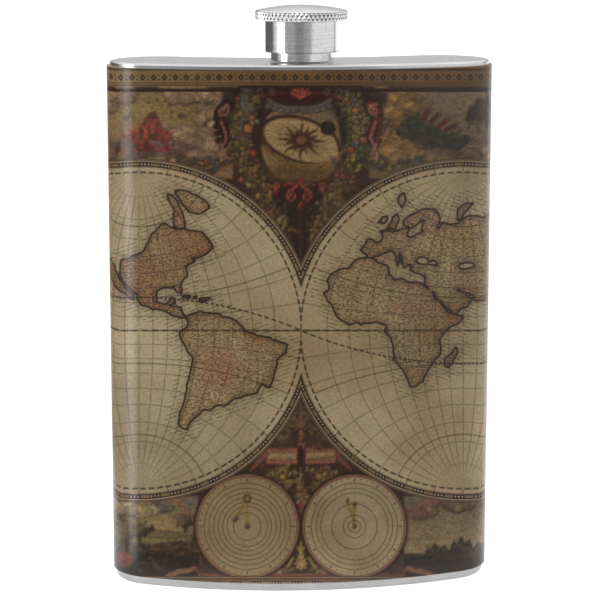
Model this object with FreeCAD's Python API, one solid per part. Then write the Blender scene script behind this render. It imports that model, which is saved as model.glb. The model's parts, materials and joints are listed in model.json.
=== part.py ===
import FreeCAD, Part
import math
import os

# Hip flask: a kidney-section steel vessel in a printed wrap, with a screw cap.
# Millimetres. +Z is up, the convex face looks along -Y, and the origin is on the
# surface the flask stands on, at the middle of its bounding box.

Vector = FreeCAD.Vector
UP = Vector(0, 0, 1)

# ---------------------------------------------------------------- driving sizes
# Kidney outline over the wrap
WIDTH = 93.0
THICKNESS = 25.0
MIDLINE_RADIUS = 92.0        # bend of the line half way between front and back
CORNER_RADIUS = 11.8         # four corners of the outline

# Vessel
SHELL_WALL = 0.6
PLATE_WALL = 0.7
VESSEL_TOP = 127.8
TOP_EDGE_RADIUS = 0.6
BASE_EDGE_RADIUS = 0.8
TOP_FLANGE_END = 125.2       # lower edge of the top plate's rim
BASE_FLANGE_END = 2.6        # upper edge of the base plate's rim
WELD_WIDTH = 0.5
BASE_RECESS = 0.8
BASE_RECESS_INSET = 5.0

# Wrap
WRAP_SHEET = 0.55
ADHESIVE = 0.15
WRAP_BOTTOM = 2.2
WRAP_TOP = 126.7
WRAP_GAP = 0.3               # open butt joint at the middle of the back
SLOT_DEPTH = 8.0             # of the cutters for the joint and the weld, through the back

# Neck
NECK_TOP = 137.8
BORE_RADIUS = 5.25
COLLAR_RADIUS = 7.4
COLLAR_TOP = 130.4
SPIGOT_RADIUS = 6.6          # the part that passes through the top plate
LIP_RADIUS = 7.8             # rolled lip under the top plate
LIP_HEIGHT = 0.8
NECK_FILLET = 0.35           # weld bead round the foot of the collar
COLLAR_CHAMFER = 0.2
NECK_CHAMFER = 0.25
MOUTH_CHAMFER = 0.15

# Screw thread, shared by the neck and the cap's insert
PITCH = 1.5
NECK_ROOT_RADIUS = 6.2
NECK_CREST_RADIUS = 6.75
INSERT_ROOT_RADIUS = 6.95
INSERT_CREST_RADIUS = 6.4
RIDGE_BASE = 0.72            # height of a ridge at its root
RIDGE_CREST = 0.34           # height of a ridge at its crest
RIDGE_BITE = 0.1             # how far a ridge is sunk into its wall
THREAD_START = 131.2         # middle of the lowest turn, on the neck
NECK_TURNS = 3.75
INSERT_TURNS = 3.5

# Cap
SKIRT_RADIUS = 8.8
SKIRT_BOTTOM = 130.1
SKIRT_WALL = 0.85
HEAD_RADIUS = 11.0
HEAD_BOTTOM = 137.6
HEAD_TOP = 140.0
HEAD_CHAMFER = 0.25
SKIRT_CHAMFER = 0.15
DOME_RISE = 1.2
DOME_STEPS = 6               # straight facets of the dome's profile
ROOF = 139.2                 # inside face of the cap's roof
INSERT_BOTTOM = 130.7
INSERT_TOP = 138.6
GASKET_RADIUS = 6.8
GASKET_GAP = 0.05            # between the gasket and the parts that close on it
GASKET_CHAMFER = 0.15

# ------------------------------------------------------------- worked-out sizes
SKIN = WRAP_SHEET + ADHESIVE
FRONT_RADIUS = MIDLINE_RADIUS + THICKNESS / 2
BACK_RADIUS = MIDLINE_RADIUS - THICKNESS / 2
SPREAD = math.asin((WIDTH / 2 - CORNER_RADIUS) / (FRONT_RADIUS - CORNER_RADIUS))
BACK_REACH = (MIDLINE_RADIUS + CORNER_RADIUS
              - (BACK_RADIUS + CORNER_RADIUS) * math.cos(SPREAD))
NECK_Y = (THICKNESS / 2 - BACK_REACH) / 2      # centres the bounding box on Y = 0
BEND_Y = NECK_Y + MIDLINE_RADIUS               # centre of the bend


def on_bend(radius, angle):
    """The point at a radius and an angle from -Y about the centre of the bend."""
    return Vector(radius * math.sin(angle), BEND_Y - radius * math.cos(angle), 0)


def corner(centre, radius, start, end):
    """An arc of a corner, from one direction to another, both as angles from -Y."""
    def at(angle):
        step = Vector(math.sin(angle), -math.cos(angle), 0)
        return centre + step * radius
    return Part.Arc(at(start), at((start + end) / 2), at(end)).toShape()


def kidney_face(inset, height):
    """The kidney outline, moved inwards by inset, as a face at a height."""
    front = FRONT_RADIUS - inset
    back = BACK_RADIUS + inset
    radius = CORNER_RADIUS - inset
    quarter = math.pi / 2
    front_corner = on_bend(FRONT_RADIUS - CORNER_RADIUS, SPREAD)
    back_corner = on_bend(BACK_RADIUS + CORNER_RADIUS, SPREAD)
    right = [
        corner(front_corner, radius, SPREAD, SPREAD + quarter),
        corner(back_corner, radius, SPREAD + quarter, SPREAD + 2 * quarter),
    ]
    left = [edge.mirror(Vector(0, 0, 0), Vector(1, 0, 0)) for edge in right]
    sides = []
    for turn in (1, -1):
        outward = Vector(turn * math.cos(SPREAD), math.sin(SPREAD), 0) * radius
        ends = [Vector(turn * c.x, c.y, 0) + outward for c in (front_corner, back_corner)]
        sides.append(Part.makeLine(*ends))
    edges = [
        Part.Arc(on_bend(front, -SPREAD), on_bend(front, 0), on_bend(front, SPREAD)).toShape(),
        Part.Arc(on_bend(back, -SPREAD), on_bend(back, 0), on_bend(back, SPREAD)).toShape(),
    ] + right + left + sides
    wire = Part.Wire(Part.__sortEdges__(edges))
    face = Part.Face(wire)
    face.translate(Vector(0, 0, height))
    return face


def kidney(inset, bottom, top):
    return kidney_face(inset, bottom).extrude(UP * (top - bottom))


def ring(outer_inset, inner_inset, bottom, top):
    """A wall that follows the kidney outline between two insets."""
    return kidney(outer_inset, bottom, top).cut(kidney(inner_inset, bottom, top))


def back_slot(width, bottom, top):
    """A cutter for a vertical slot at the middle of the concave back."""
    back_y = NECK_Y + THICKNESS / 2
    corner_low = Vector(-width / 2, back_y - SLOT_DEPTH / 2, bottom)
    return Part.makeBox(width, SLOT_DEPTH, top - bottom, corner_low)


def rounded(solid, radius, height):
    """Rounds the solid's edges that lie at a height."""
    edges = [e for e in solid.Edges
             if abs(e.BoundBox.ZMin - height) < 1e-6 and abs(e.BoundBox.ZMax - height) < 1e-6]
    return solid.makeFillet(radius, edges)


def turned(profile):
    """A solid of revolution about the neck's axis, from (radius, height) points."""
    points = [Vector(r, 0, z) for r, z in profile]
    face = Part.Face(Part.makePolygon(points + points[:1]))
    solid = face.revolve(Vector(0, 0, 0), UP, 360)
    solid.translate(Vector(0, NECK_Y, 0))
    return solid


def thread_ridge(root_radius, crest_radius, start, turns):
    """A trapezoid ridge wound on a right-hand helix about the neck's axis."""
    bite = RIDGE_BITE if crest_radius > root_radius else -RIDGE_BITE
    path = Part.makeHelix(PITCH, PITCH * turns, root_radius)
    profile = Part.makePolygon([
        Vector(root_radius - bite, 0, -RIDGE_BASE / 2),
        Vector(crest_radius, 0, -RIDGE_CREST / 2),
        Vector(crest_radius, 0, RIDGE_CREST / 2),
        Vector(root_radius - bite, 0, RIDGE_BASE / 2),
        Vector(root_radius - bite, 0, -RIDGE_BASE / 2),
    ])
    ridge = Part.Wire(path.Edges).makePipeShell([profile], True, True)
    ridge.translate(Vector(0, NECK_Y, start))
    return ridge


# ------------------------------------------------------------------- the pieces
def make_body_shell():
    bottom = BASE_FLANGE_END + WELD_WIDTH
    top = TOP_FLANGE_END - WELD_WIDTH
    tube = ring(SKIN, SKIN + SHELL_WALL, bottom, top)
    return tube.cut(back_slot(WELD_WIDTH, bottom, top))


def make_back_seam_weld():
    bottom = BASE_FLANGE_END + WELD_WIDTH
    top = TOP_FLANGE_END - WELD_WIDTH
    tube = ring(SKIN, SKIN + SHELL_WALL, bottom, top)
    return tube.common(back_slot(WELD_WIDTH, bottom, top))


def make_top_seam_weld():
    return ring(SKIN, SKIN + SHELL_WALL, TOP_FLANGE_END - WELD_WIDTH, TOP_FLANGE_END)


def make_base_seam_weld():
    return ring(SKIN, SKIN + SHELL_WALL, BASE_FLANGE_END, BASE_FLANGE_END + WELD_WIDTH)


def make_top_plate():
    pan = rounded(kidney(SKIN, TOP_FLANGE_END, VESSEL_TOP), TOP_EDGE_RADIUS, VESSEL_TOP)
    inside = kidney(SKIN + PLATE_WALL, TOP_FLANGE_END, VESSEL_TOP - PLATE_WALL)
    hole = Part.makeCylinder(SPIGOT_RADIUS, VESSEL_TOP, Vector(0, NECK_Y, 0))
    return pan.cut(inside).cut(hole)


def make_base_plate():
    pan = rounded(kidney(SKIN, 0, BASE_FLANGE_END), BASE_EDGE_RADIUS, 0)
    recess = kidney(BASE_RECESS_INSET, 0, BASE_RECESS)
    inside = kidney(SKIN + PLATE_WALL, PLATE_WALL, BASE_FLANGE_END)
    floor = kidney(BASE_RECESS_INSET - PLATE_WALL, PLATE_WALL, BASE_RECESS + PLATE_WALL)
    return pan.cut(inside.cut(floor)).cut(recess)


def make_neck():
    plate_under = VESSEL_TOP - PLATE_WALL
    body = turned([
        (BORE_RADIUS, plate_under - LIP_HEIGHT),
        (LIP_RADIUS, plate_under - LIP_HEIGHT),
        (LIP_RADIUS, plate_under),
        (SPIGOT_RADIUS, plate_under),
        (SPIGOT_RADIUS, VESSEL_TOP),
        (COLLAR_RADIUS, VESSEL_TOP),
        (COLLAR_RADIUS, COLLAR_TOP - COLLAR_CHAMFER),
        (COLLAR_RADIUS - COLLAR_CHAMFER, COLLAR_TOP),
        (NECK_ROOT_RADIUS, COLLAR_TOP),
        (NECK_ROOT_RADIUS, NECK_TOP - NECK_CHAMFER),
        (NECK_ROOT_RADIUS - NECK_CHAMFER, NECK_TOP),
        (BORE_RADIUS + MOUTH_CHAMFER, NECK_TOP),
        (BORE_RADIUS, NECK_TOP - MOUTH_CHAMFER),
    ])
    ridge = thread_ridge(NECK_ROOT_RADIUS, NECK_CREST_RADIUS, THREAD_START, NECK_TURNS)
    return body.fuse(ridge)


def make_neck_weld():
    return turned([
        (COLLAR_RADIUS, VESSEL_TOP),
        (COLLAR_RADIUS + NECK_FILLET, VESSEL_TOP),
        (COLLAR_RADIUS, VESSEL_TOP + NECK_FILLET),
    ])


def make_wrap():
    sheet = ring(0, WRAP_SHEET, WRAP_BOTTOM, WRAP_TOP)
    return sheet.cut(back_slot(WRAP_GAP, WRAP_BOTTOM, WRAP_TOP))


def make_wrap_adhesive():
    film = ring(WRAP_SHEET, SKIN, WRAP_BOTTOM, WRAP_TOP)
    return film.cut(back_slot(WRAP_GAP, WRAP_BOTTOM, WRAP_TOP))


def make_cap_shell():
    inner = SKIRT_RADIUS - SKIRT_WALL
    edge = HEAD_RADIUS - HEAD_CHAMFER
    dome = (edge ** 2 + DOME_RISE ** 2) / (2 * DOME_RISE)      # radius of the domed top
    top = []
    for i in range(DOME_STEPS + 1):
        radius = edge * (1 - i / DOME_STEPS)
        top.append((radius, HEAD_TOP + DOME_RISE - dome + math.sqrt(dome ** 2 - radius ** 2)))
    return turned([
        (0, ROOF),
        (inner, ROOF),
        (inner, SKIRT_BOTTOM),
        (SKIRT_RADIUS - SKIRT_CHAMFER, SKIRT_BOTTOM),
        (SKIRT_RADIUS, SKIRT_BOTTOM + SKIRT_CHAMFER),
        (SKIRT_RADIUS, HEAD_BOTTOM),
        (edge, HEAD_BOTTOM),
        (HEAD_RADIUS, HEAD_BOTTOM + HEAD_CHAMFER),
        (HEAD_RADIUS, HEAD_TOP - HEAD_CHAMFER),
    ] + top)


def make_cap_insert():
    outer = SKIRT_RADIUS - SKIRT_WALL
    sleeve = turned([
        (INSERT_ROOT_RADIUS, INSERT_BOTTOM),
        (outer, INSERT_BOTTOM),
        (outer, INSERT_TOP),
        (INSERT_ROOT_RADIUS, INSERT_TOP),
    ])
    ridge = thread_ridge(INSERT_ROOT_RADIUS, INSERT_CREST_RADIUS,
                         THREAD_START + PITCH / 2, INSERT_TURNS)
    return sleeve.fuse(ridge)


def make_cap_gasket():
    bottom = NECK_TOP + GASKET_GAP
    top = ROOF - GASKET_GAP
    return turned([
        (0, bottom),
        (GASKET_RADIUS - GASKET_CHAMFER, bottom),
        (GASKET_RADIUS, bottom + GASKET_CHAMFER),
        (GASKET_RADIUS, top - GASKET_CHAMFER),
        (GASKET_RADIUS - GASKET_CHAMFER, top),
        (0, top),
    ])


PIECES = {
    "body_shell": make_body_shell,
    "back_seam_weld": make_back_seam_weld,
    "top_plate": make_top_plate,
    "top_seam_weld": make_top_seam_weld,
    "base_plate": make_base_plate,
    "base_seam_weld": make_base_seam_weld,
    "neck": make_neck,
    "neck_weld": make_neck_weld,
    "wrap": make_wrap,
    "wrap_adhesive": make_wrap_adhesive,
    "cap_shell": make_cap_shell,
    "cap_insert": make_cap_insert,
    "cap_gasket": make_cap_gasket,
}

os.makedirs("parts", exist_ok=True)
for name, make in PIECES.items():
    shape = make()
    solids = shape.Solids
    shape = solids[0] if len(solids) == 1 else Part.makeCompound(solids)
    box = shape.BoundBox
    print(f"{name}: {len(solids)} solid, valid {shape.isValid()}, {shape.Volume:.1f} mm3, "
          f"x {box.XMin:.2f} {box.XMax:.2f}, y {box.YMin:.2f} {box.YMax:.2f}, "
          f"z {box.ZMin:.2f} {box.ZMax:.2f}")
    shape.exportStep(f"parts/{name}.step")
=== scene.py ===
import json
import math

import bpy
import numpy as np
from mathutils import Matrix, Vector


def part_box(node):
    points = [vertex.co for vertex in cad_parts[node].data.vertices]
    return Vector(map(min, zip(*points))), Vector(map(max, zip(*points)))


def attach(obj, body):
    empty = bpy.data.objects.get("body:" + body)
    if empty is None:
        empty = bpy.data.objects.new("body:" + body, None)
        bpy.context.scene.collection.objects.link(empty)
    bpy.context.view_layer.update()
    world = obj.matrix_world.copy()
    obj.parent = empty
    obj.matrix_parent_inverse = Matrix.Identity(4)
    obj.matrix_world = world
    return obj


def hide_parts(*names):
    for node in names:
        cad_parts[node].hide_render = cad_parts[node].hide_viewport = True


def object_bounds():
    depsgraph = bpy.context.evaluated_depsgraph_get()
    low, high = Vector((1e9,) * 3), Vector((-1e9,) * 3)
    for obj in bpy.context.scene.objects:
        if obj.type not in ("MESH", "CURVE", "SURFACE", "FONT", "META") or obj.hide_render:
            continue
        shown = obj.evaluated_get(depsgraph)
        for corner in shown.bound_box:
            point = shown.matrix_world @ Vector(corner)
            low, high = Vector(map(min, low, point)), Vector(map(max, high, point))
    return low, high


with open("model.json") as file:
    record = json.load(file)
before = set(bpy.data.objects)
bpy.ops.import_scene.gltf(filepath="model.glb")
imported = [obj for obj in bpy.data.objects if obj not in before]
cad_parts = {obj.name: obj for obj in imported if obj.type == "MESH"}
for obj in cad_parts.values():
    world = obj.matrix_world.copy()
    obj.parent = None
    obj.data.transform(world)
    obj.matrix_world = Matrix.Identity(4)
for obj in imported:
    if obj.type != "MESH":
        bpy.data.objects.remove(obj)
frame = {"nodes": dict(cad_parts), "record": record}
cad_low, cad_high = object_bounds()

MM = 0.001

# ------------------------------------------------------------------ sizes, in mm
# The kidney outline over the wrap, as the CAD model has it
WIDTH = (cad_high.x - cad_low.x) / MM
THICKNESS = 25.0
MIDLINE_RADIUS = 92.0
CORNER_RADIUS = 11.8
FRONT_RADIUS = MIDLINE_RADIUS + THICKNESS / 2
BACK_RADIUS = MIDLINE_RADIUS - THICKNESS / 2
SPREAD = math.asin((WIDTH / 2 - CORNER_RADIUS) / (FRONT_RADIUS - CORNER_RADIUS))
HINGE = next(j for j in frame["record"]["behaviour"]["joints"] if j["type"] == "hinge")
NECK_Y = HINGE["pos_m"][1] / MM
BEND_Y = NECK_Y + MIDLINE_RADIUS
SKIN = 0.7                   # wrap and adhesive together

# Lengths of the outline's stretches, from the middle of the front to the middle of the back
FRONT_RUN = FRONT_RADIUS * SPREAD
CORNER_RUN = CORNER_RADIUS * math.pi / 2
END_RUN = THICKNESS - 2 * CORNER_RADIUS
BACK_RUN = BACK_RADIUS * SPREAD
HALF_ROUND = FRONT_RUN + 2 * CORNER_RUN + END_RUN + BACK_RUN

# The eye that the picture on the wrap is drawn for, and the camera too
EYE_DISTANCE = 548.3
EYE_HEIGHT = 170.6
EYE_TILT = math.radians(10.405)
EYE_YAW = math.radians(3.555)
EYE_ASIDE = -0.36
FOCAL = 2294.9 / 600         # focal length over the width of the picture


# --------------------------------------------------------------- mesh and outline
def mesh_piece(name, points, faces, body, node=None, smooth=True):
    """A mesh object from points in mm, riding on a body."""
    mesh = bpy.data.meshes.new(name)
    mesh.vertices.add(len(points))
    mesh.vertices.foreach_set("co", (np.asarray(points, float) * MM).ravel())
    flat = [i for face in faces for i in face]
    sizes = np.array([len(face) for face in faces])
    mesh.loops.add(len(flat))
    mesh.loops.foreach_set("vertex_index", flat)
    mesh.polygons.add(len(faces))
    mesh.polygons.foreach_set("loop_start", np.r_[0, np.cumsum(sizes)[:-1]])
    mesh.polygons.foreach_set("use_smooth", np.full(len(faces), smooth))
    mesh.update(calc_edges=True)
    mesh.validate()
    piece = bpy.data.objects.new(name, mesh)
    bpy.context.scene.collection.objects.link(piece)
    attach(piece, body)
    if node:
        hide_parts(node)
    return piece


def outline(s, inset=0.0):
    """Places and outward normals on the kidney outline, moved inwards by inset.

    s is the length along the wrap's outside from the middle of the front, + towards +X.
    """
    s = np.asarray(s, float)
    side = np.where(s < 0, -1.0, 1.0)
    run = np.abs(s)
    ends = np.cumsum([FRONT_RUN, CORNER_RUN, END_RUN, CORNER_RUN, BACK_RUN])
    front_corner = (math.sin(SPREAD), -math.cos(SPREAD), FRONT_RADIUS - CORNER_RADIUS)
    back_corner = (math.sin(SPREAD), -math.cos(SPREAD), BACK_RADIUS + CORNER_RADIUS)
    x, y, nx, ny = (np.zeros_like(run) for _ in range(4))

    def arc(where, centre, radius, angle):
        cx, cy = centre[0] * centre[2], centre[1] * centre[2]
        nx[where], ny[where] = np.sin(angle), -np.cos(angle)
        x[where], y[where] = cx + radius * nx[where], cy + radius * ny[where]

    where = run <= ends[0]
    arc(where, (0, 0, 0), FRONT_RADIUS - inset, run[where] / FRONT_RADIUS)
    where = (run > ends[0]) & (run <= ends[1])
    arc(where, front_corner, CORNER_RADIUS - inset, SPREAD + (run[where] - ends[0]) / CORNER_RADIUS)
    where = (run > ends[1]) & (run <= ends[2])
    out = SPREAD + math.pi / 2
    arc(where, front_corner, CORNER_RADIUS - inset, np.full(where.sum(), out))
    x[where] -= math.sin(SPREAD) * (run[where] - ends[1])
    y[where] += math.cos(SPREAD) * (run[where] - ends[1])
    where = (run > ends[2]) & (run <= ends[3])
    arc(where, back_corner, CORNER_RADIUS - inset, out + (run[where] - ends[2]) / CORNER_RADIUS)
    where = run > ends[3]
    angle = SPREAD - (run[where] - ends[3]) / BACK_RADIUS
    nx[where], ny[where] = -np.sin(angle), np.cos(angle)
    x[where] = (BACK_RADIUS + inset) * np.sin(angle)
    y[where] = -(BACK_RADIUS + inset) * np.cos(angle)
    return side * x, y + BEND_Y, side * nx, ny


def loop_faces(rows, columns, closed=True, flip=False):
    """Quads between rows of points, each row a loop or a strip of columns."""
    last = columns if closed else columns - 1
    faces = []
    for r in range(rows - 1):
        for c in range(last):
            a, b = r * columns + c, r * columns + (c + 1) % columns
            quad = (a, b, b + columns, a + columns)
            faces.append(quad[::-1] if flip else quad)
    return faces


def turned_points(profile, columns):
    """Rings of points about the neck's axis from (radius, height) pairs."""
    angles = np.arange(columns) * 2 * math.pi / columns
    return np.concatenate([np.stack([radius * np.sin(angles), NECK_Y - radius * np.cos(angles),
        np.full(columns, height)], 1) for radius, height in profile])


def outline_rows(profile, s):
    """Rows of points on the kidney outline at lengths s, from (inset, height) pairs."""
    return [np.stack([*outline(s, inset)[:2], np.full(len(s), height)], 1) for inset, height in profile]


# ------------------------------------------------------------------ node arithmetic
class Number:
    """A number that shader nodes work out, so that patterns can be written as sums."""

    tree = None              # the node tree that new nodes go into

    def __init__(self, socket):
        self.socket = socket

    @classmethod
    def node(cls, operation, *values, clamp=False):
        """The result of a math node."""
        made = add_node("ShaderNodeMath", operation=operation, use_clamp=clamp)
        for slot, value in zip(made.inputs, values):
            link(value, slot)
        return Number(made.outputs[0])


def number_method(operation, swapped=False):
    """An arithmetic method of Number; swapped is for a plain number on its left."""
    def method(self, other):
        return Number.node(operation, *((other, self) if swapped else (self, other)))
    return method


for sign, operation in (("add", "ADD"), ("sub", "SUBTRACT"), ("mul", "MULTIPLY"), ("truediv", "DIVIDE")):
    setattr(Number, f"__{sign}__", number_method(operation))
    setattr(Number, f"__r{sign}__", number_method(operation, True))
Number.__abs__ = lambda self: fn("ABSOLUTE", self)
fn = Number.node
DEGREES = 180 / math.pi


def above(value, edge, soft):
    """0 below an edge, 1 above it, with a straight ramp of the given width."""
    return fn("MULTIPLY_ADD", value, 1 / soft, 0.5 - edge / soft, clamp=True)


def below(value, edge, soft):
    """1 below an edge, 0 above it."""
    return 1.0 - above(value, edge, soft)


def band(value, low, high, soft):
    """1 between two edges, 0 outside them."""
    return above(value, low, soft) * below(value, high, soft)


def line(distance, width, soft):
    """1 on a line of the given width, from the distance to its middle."""
    return below(abs(distance), width / 2, soft)


def repeat(value, length):
    """The place within a pattern that starts again at every length."""
    return fn("WRAP", value, length, 0.0)


def nearest(value, step):
    """The distance, with its sign, to the nearest multiple of a step."""
    return repeat(value + step / 2, step) - step / 2


def off(x, y):
    """The distance of (x, y) from the middle."""
    return fn("SQRT", x * x + y * y)


def most(first, *others):
    """The largest of several numbers."""
    for other in others:
        first = fn("MAXIMUM", first, other)
    return first


def new_material(name):
    """A material and its Principled shader; nodes made from now on go into it."""
    material = bpy.data.materials.new(name)
    material.use_nodes = True
    Number.tree = material.node_tree
    return material, material.node_tree.nodes["Principled BSDF"]


def add_node(kind, **settings):
    """A new node in the tree being built."""
    made = Number.tree.nodes.new(kind)
    for key, value in settings.items():
        setattr(made, key, value)
    return made


def link(value, slot):
    """Gives an input its value: a Number, an output, a plain number or an RGB triple."""
    if isinstance(value, Number):
        value = value.socket
    if isinstance(value, bpy.types.NodeSocket):
        Number.tree.links.new(value, slot)
    else:
        slot.default_value = (*value, 1.0) if isinstance(value, tuple) else value


def noise(vector, scale, detail=3.0, rough=0.5, distort=0.0):
    """Noise between 0 and 1 over a coordinate."""
    made = add_node("ShaderNodeTexNoise")
    for key, value in (("Vector", vector), ("Scale", scale), ("Detail", detail), ("Roughness", rough),
            ("Distortion", distort)):
        link(value, made.inputs[key])
    return Number(made.outputs["Fac"])


def combine(*values):
    """A vector from up to three values."""
    made = add_node("ShaderNodeCombineXYZ")
    for slot, value in zip(made.inputs, values):
        link(value, slot)
    return made.outputs[0]


def split(vector):
    """The three values of a vector."""
    made = add_node("ShaderNodeSeparateXYZ")
    link(vector, made.inputs[0])
    return [Number(out) for out in made.outputs]


def attribute(name):
    """One of the mesh's own attributes."""
    return add_node("ShaderNodeAttribute", attribute_name=name)


def mix(share, under, over, kind="MIX"):
    """Lays one colour over another; each is an output or an RGB triple."""
    made = add_node("ShaderNodeMix", data_type="RGBA", blend_type=kind, clamp_factor=True)
    for slot, value in ((0, share), (6, under), (7, over)):      # the factor, and colours A and B
        link(value, made.inputs[slot])
    return made.outputs[2]


def finish(shader, shade, roughness, relief, depth, strength, metallic):
    """Sets a shader's colour, roughness and metal, and a relief of a depth in mm."""
    link(shade, shader.inputs["Base Color"])
    link(roughness, shader.inputs["Roughness"])
    shader.inputs["Metallic"].default_value = metallic
    made = add_node("ShaderNodeBump")
    for key, value in (("Strength", strength), ("Distance", depth * MM), ("Height", relief)):
        link(value, made.inputs[key])
    link(made.outputs[0], shader.inputs["Normal"])


def place():
    """The piece's own place, in mm."""
    made = add_node("ShaderNodeVectorMath", operation="SCALE")
    made.inputs["Scale"].default_value = 1 / MM
    link(add_node("ShaderNodeTexCoord").outputs["Object"], made.inputs[0])
    return made.outputs[0]


# ------------------------------------------------------------------------ steels
def satin_steel(name, painted_shade=1.0):
    """Pressed sheet: fine satin grain along X, with faint pressing marks; a factor below 1 darkens the
    whole sheet as painted shade.
    """
    material, shader = new_material(name)
    at = place()
    x, y, z = split(at)
    grain = noise(combine(x * 0.15, y * 9.0, z * 9.0), 1.0, 3.0, 0.65)
    cloud = noise(at, 0.12, 3.0)
    shade = mix(above(cloud, 0.5, 0.5), (0.50 * painted_shade, 0.50 * painted_shade, 0.51 * painted_shade), (0.62 * painted_shade,) * 3)
    shade = mix(above(grain, 0.58, 0.3) * 0.5, shade, (0.38 * painted_shade,) * 3)
    relief = grain * 0.7 + noise(at, 0.5, 2.0) * 0.6
    finish(shader, shade, 0.12 + grain * 0.12 + cloud * 0.06, relief, 0.02, 0.5, 1.0)
    return material


def turned_steel():
    """The cap and neck: bright steel with fine rings left by the lathe."""
    material, shader = new_material("turned_steel")
    at = place()
    x, y, z = split(at)
    y = y - NECK_Y
    radius = off(x, y)
    turn = fn("ARCTAN2", x, y)
    rings = noise(combine(turn * 0.5, z * 7.0, radius * 7.0), 1.0, 4.0, 0.7)
    fine = noise(combine(turn * 1.5, z * 26.0, radius * 26.0), 1.0, 2.0, 0.6)
    spots = noise(at, 1.3, 4.0, 0.6)
    shade = mix(above(rings, 0.5, 0.3), (0.55, 0.55, 0.55), (0.76, 0.76, 0.76))
    shade = mix(above(spots, 0.62, 0.1) * 0.45, shade, (0.34, 0.33, 0.32))
    finish(shader, shade, 0.06 + fine * 0.09 + spots * 0.04, rings * 0.6 + fine * 0.4, 0.02, 0.55, 1.0)
    return material


def plain_finish(name, dark, light, scale, roughness, depth, metallic=0.0):
    """The finish of a part that is mostly hidden: two mottled shades and a fine relief in mm."""
    material, shader = new_material(name)
    at = place()
    mottled = noise(at, scale, 4.0, 0.6)
    relief = noise(at, scale * 4, 2.0, 0.6) + mottled
    finish(shader, mix(above(mottled, 0.5, 0.4), dark, light), roughness + mottled * 0.15, relief, depth,
        0.6, metallic)
    return material


def finish_hidden_parts(sheet, turned):
    """Gives the CAD nodes that stay in the model their own procedural finishes."""
    weld = plain_finish("weld", (0.40, 0.385, 0.37), (0.56, 0.55, 0.54), 1.6, 0.28, 0.04, 1.0)
    finishes = {"body_shell": sheet, "neck": turned}
    for node in ("back_seam_weld", "top_seam_weld", "base_seam_weld", "neck_weld"):
        finishes[node] = weld
    for node, *look in (
            ("wrap_adhesive", "adhesive", (0.62, 0.58, 0.46), (0.78, 0.75, 0.66), 0.8, 0.4, 0.02),
            ("cap_insert", "liner", (0.018, 0.018, 0.019), (0.035, 0.035, 0.036), 1.2, 0.45, 0.03),
            ("cap_gasket", "silicone", (0.64, 0.63, 0.59), (0.78, 0.77, 0.73), 0.7, 0.5, 0.02)):
        finishes[node] = plain_finish(*look)
    for node, material in finishes.items():
        for holder in frame["nodes"][node].material_slots:
            holder.material = material


# ---------------------------------------------------------------------------- cap
KNURL_TEETH = 62
KNURL_DEPTH = 0.3
KNURL_RISE = 1.75            # height in which a slanting groove passes one tooth
POINTS_A_TOOTH = 12
SKIRT_RADIUS = 8.8
SKIRT_WALL = 0.85
HEAD_RADIUS = 11.0
HEAD_EDGE = 0.22             # how far the head's rounded corners come in
HEAD_LOW, ROOF, HEAD_HIGH = 7.5, 9.1, 9.9      # heights above the skirt's lower edge


def make_cap(steel):
    """The cap's outside: a plain skirt and a domed head with a diamond knurl."""
    low, high = (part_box("cap_shell")[k].z / MM for k in (0, 1))
    head_low, head_high = low + HEAD_LOW, low + HEAD_HIGH
    inner, roof = SKIRT_RADIUS - SKIRT_WALL, low + ROOF
    columns = KNURL_TEETH * POINTS_A_TOOTH
    profile = [(0.001, roof), (inner, roof), (inner, low + 0.1), (inner + 0.1, low)]
    profile += [(SKIRT_RADIUS - 0.15, low), (SKIRT_RADIUS - 0.04, low + 0.05)]
    profile += [(SKIRT_RADIUS, z) for z in (low + 0.17, *np.linspace(low + 0.4, head_low - 0.15, 12))]
    profile += [(SKIRT_RADIUS, head_low - 0.02), (SKIRT_RADIUS + 0.05, head_low)]
    profile += [(HEAD_RADIUS - 0.4, head_low), (HEAD_RADIUS - HEAD_EDGE, head_low + 0.06)]
    knurl_start = len(profile)
    profile += [(HEAD_RADIUS, z) for z in np.linspace(head_low + 0.2, head_high - 0.2, 22)]
    knurl_end = len(profile)
    dome_edge = HEAD_RADIUS - HEAD_EDGE
    rise = high - head_high
    dome = (dome_edge ** 2 + rise ** 2) / (2 * rise)
    for share in np.linspace(1, 0.03, 26):
        radius = dome_edge * share
        profile.append((radius, high - dome + math.sqrt(dome ** 2 - radius ** 2)))
    profile.append((0.001, high))
    points = turned_points(profile, columns)
    heights = points[:, 2].reshape(-1, columns)
    turn = np.arange(columns) / columns * KNURL_TEETH
    climb = (heights - head_low) / KNURL_RISE
    grooves = [np.abs((phase + 0.5) % 1.0 - 0.5) * 2 for phase in (turn + climb, turn - climb)]
    pyramid = np.minimum(*grooves)
    depth = np.zeros_like(heights)
    rows = slice(knurl_start, knurl_end)
    depth[rows] = KNURL_DEPTH * (1 - np.clip(pyramid[rows] * 1.25, 0, 1))
    fade = np.clip(np.minimum(heights - head_low - 0.1, head_high - 0.1 - heights) / 0.25, 0, 1)
    shrink = 1 - depth * fade / HEAD_RADIUS
    points[:, 0] *= shrink.ravel()
    points[:, 1] = NECK_Y + (points[:, 1] - NECK_Y) * shrink.ravel()
    faces = loop_faces(len(profile), columns)
    cap = mesh_piece("cap", points, faces, "cap", "cap_shell")
    cap.data.materials.append(steel)
    cap.data.set_sharp_from_angle(angle=math.radians(35))


# --------------------------------------------------------------------------- plates
PLATE_COLUMNS = 720          # points once round a plate
PLATE_ROUND = (np.arange(PLATE_COLUMNS) / PLATE_COLUMNS * 2 - 1) * HALF_ROUND
PLATE_INSIDE = SKIN + 0.7    # inset of a plate's inner face
PLATE_SHEET = 0.7            # thickness of the sheet as shown
NECK_HOLE = 6.9              # radius of the top plate's hole


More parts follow.
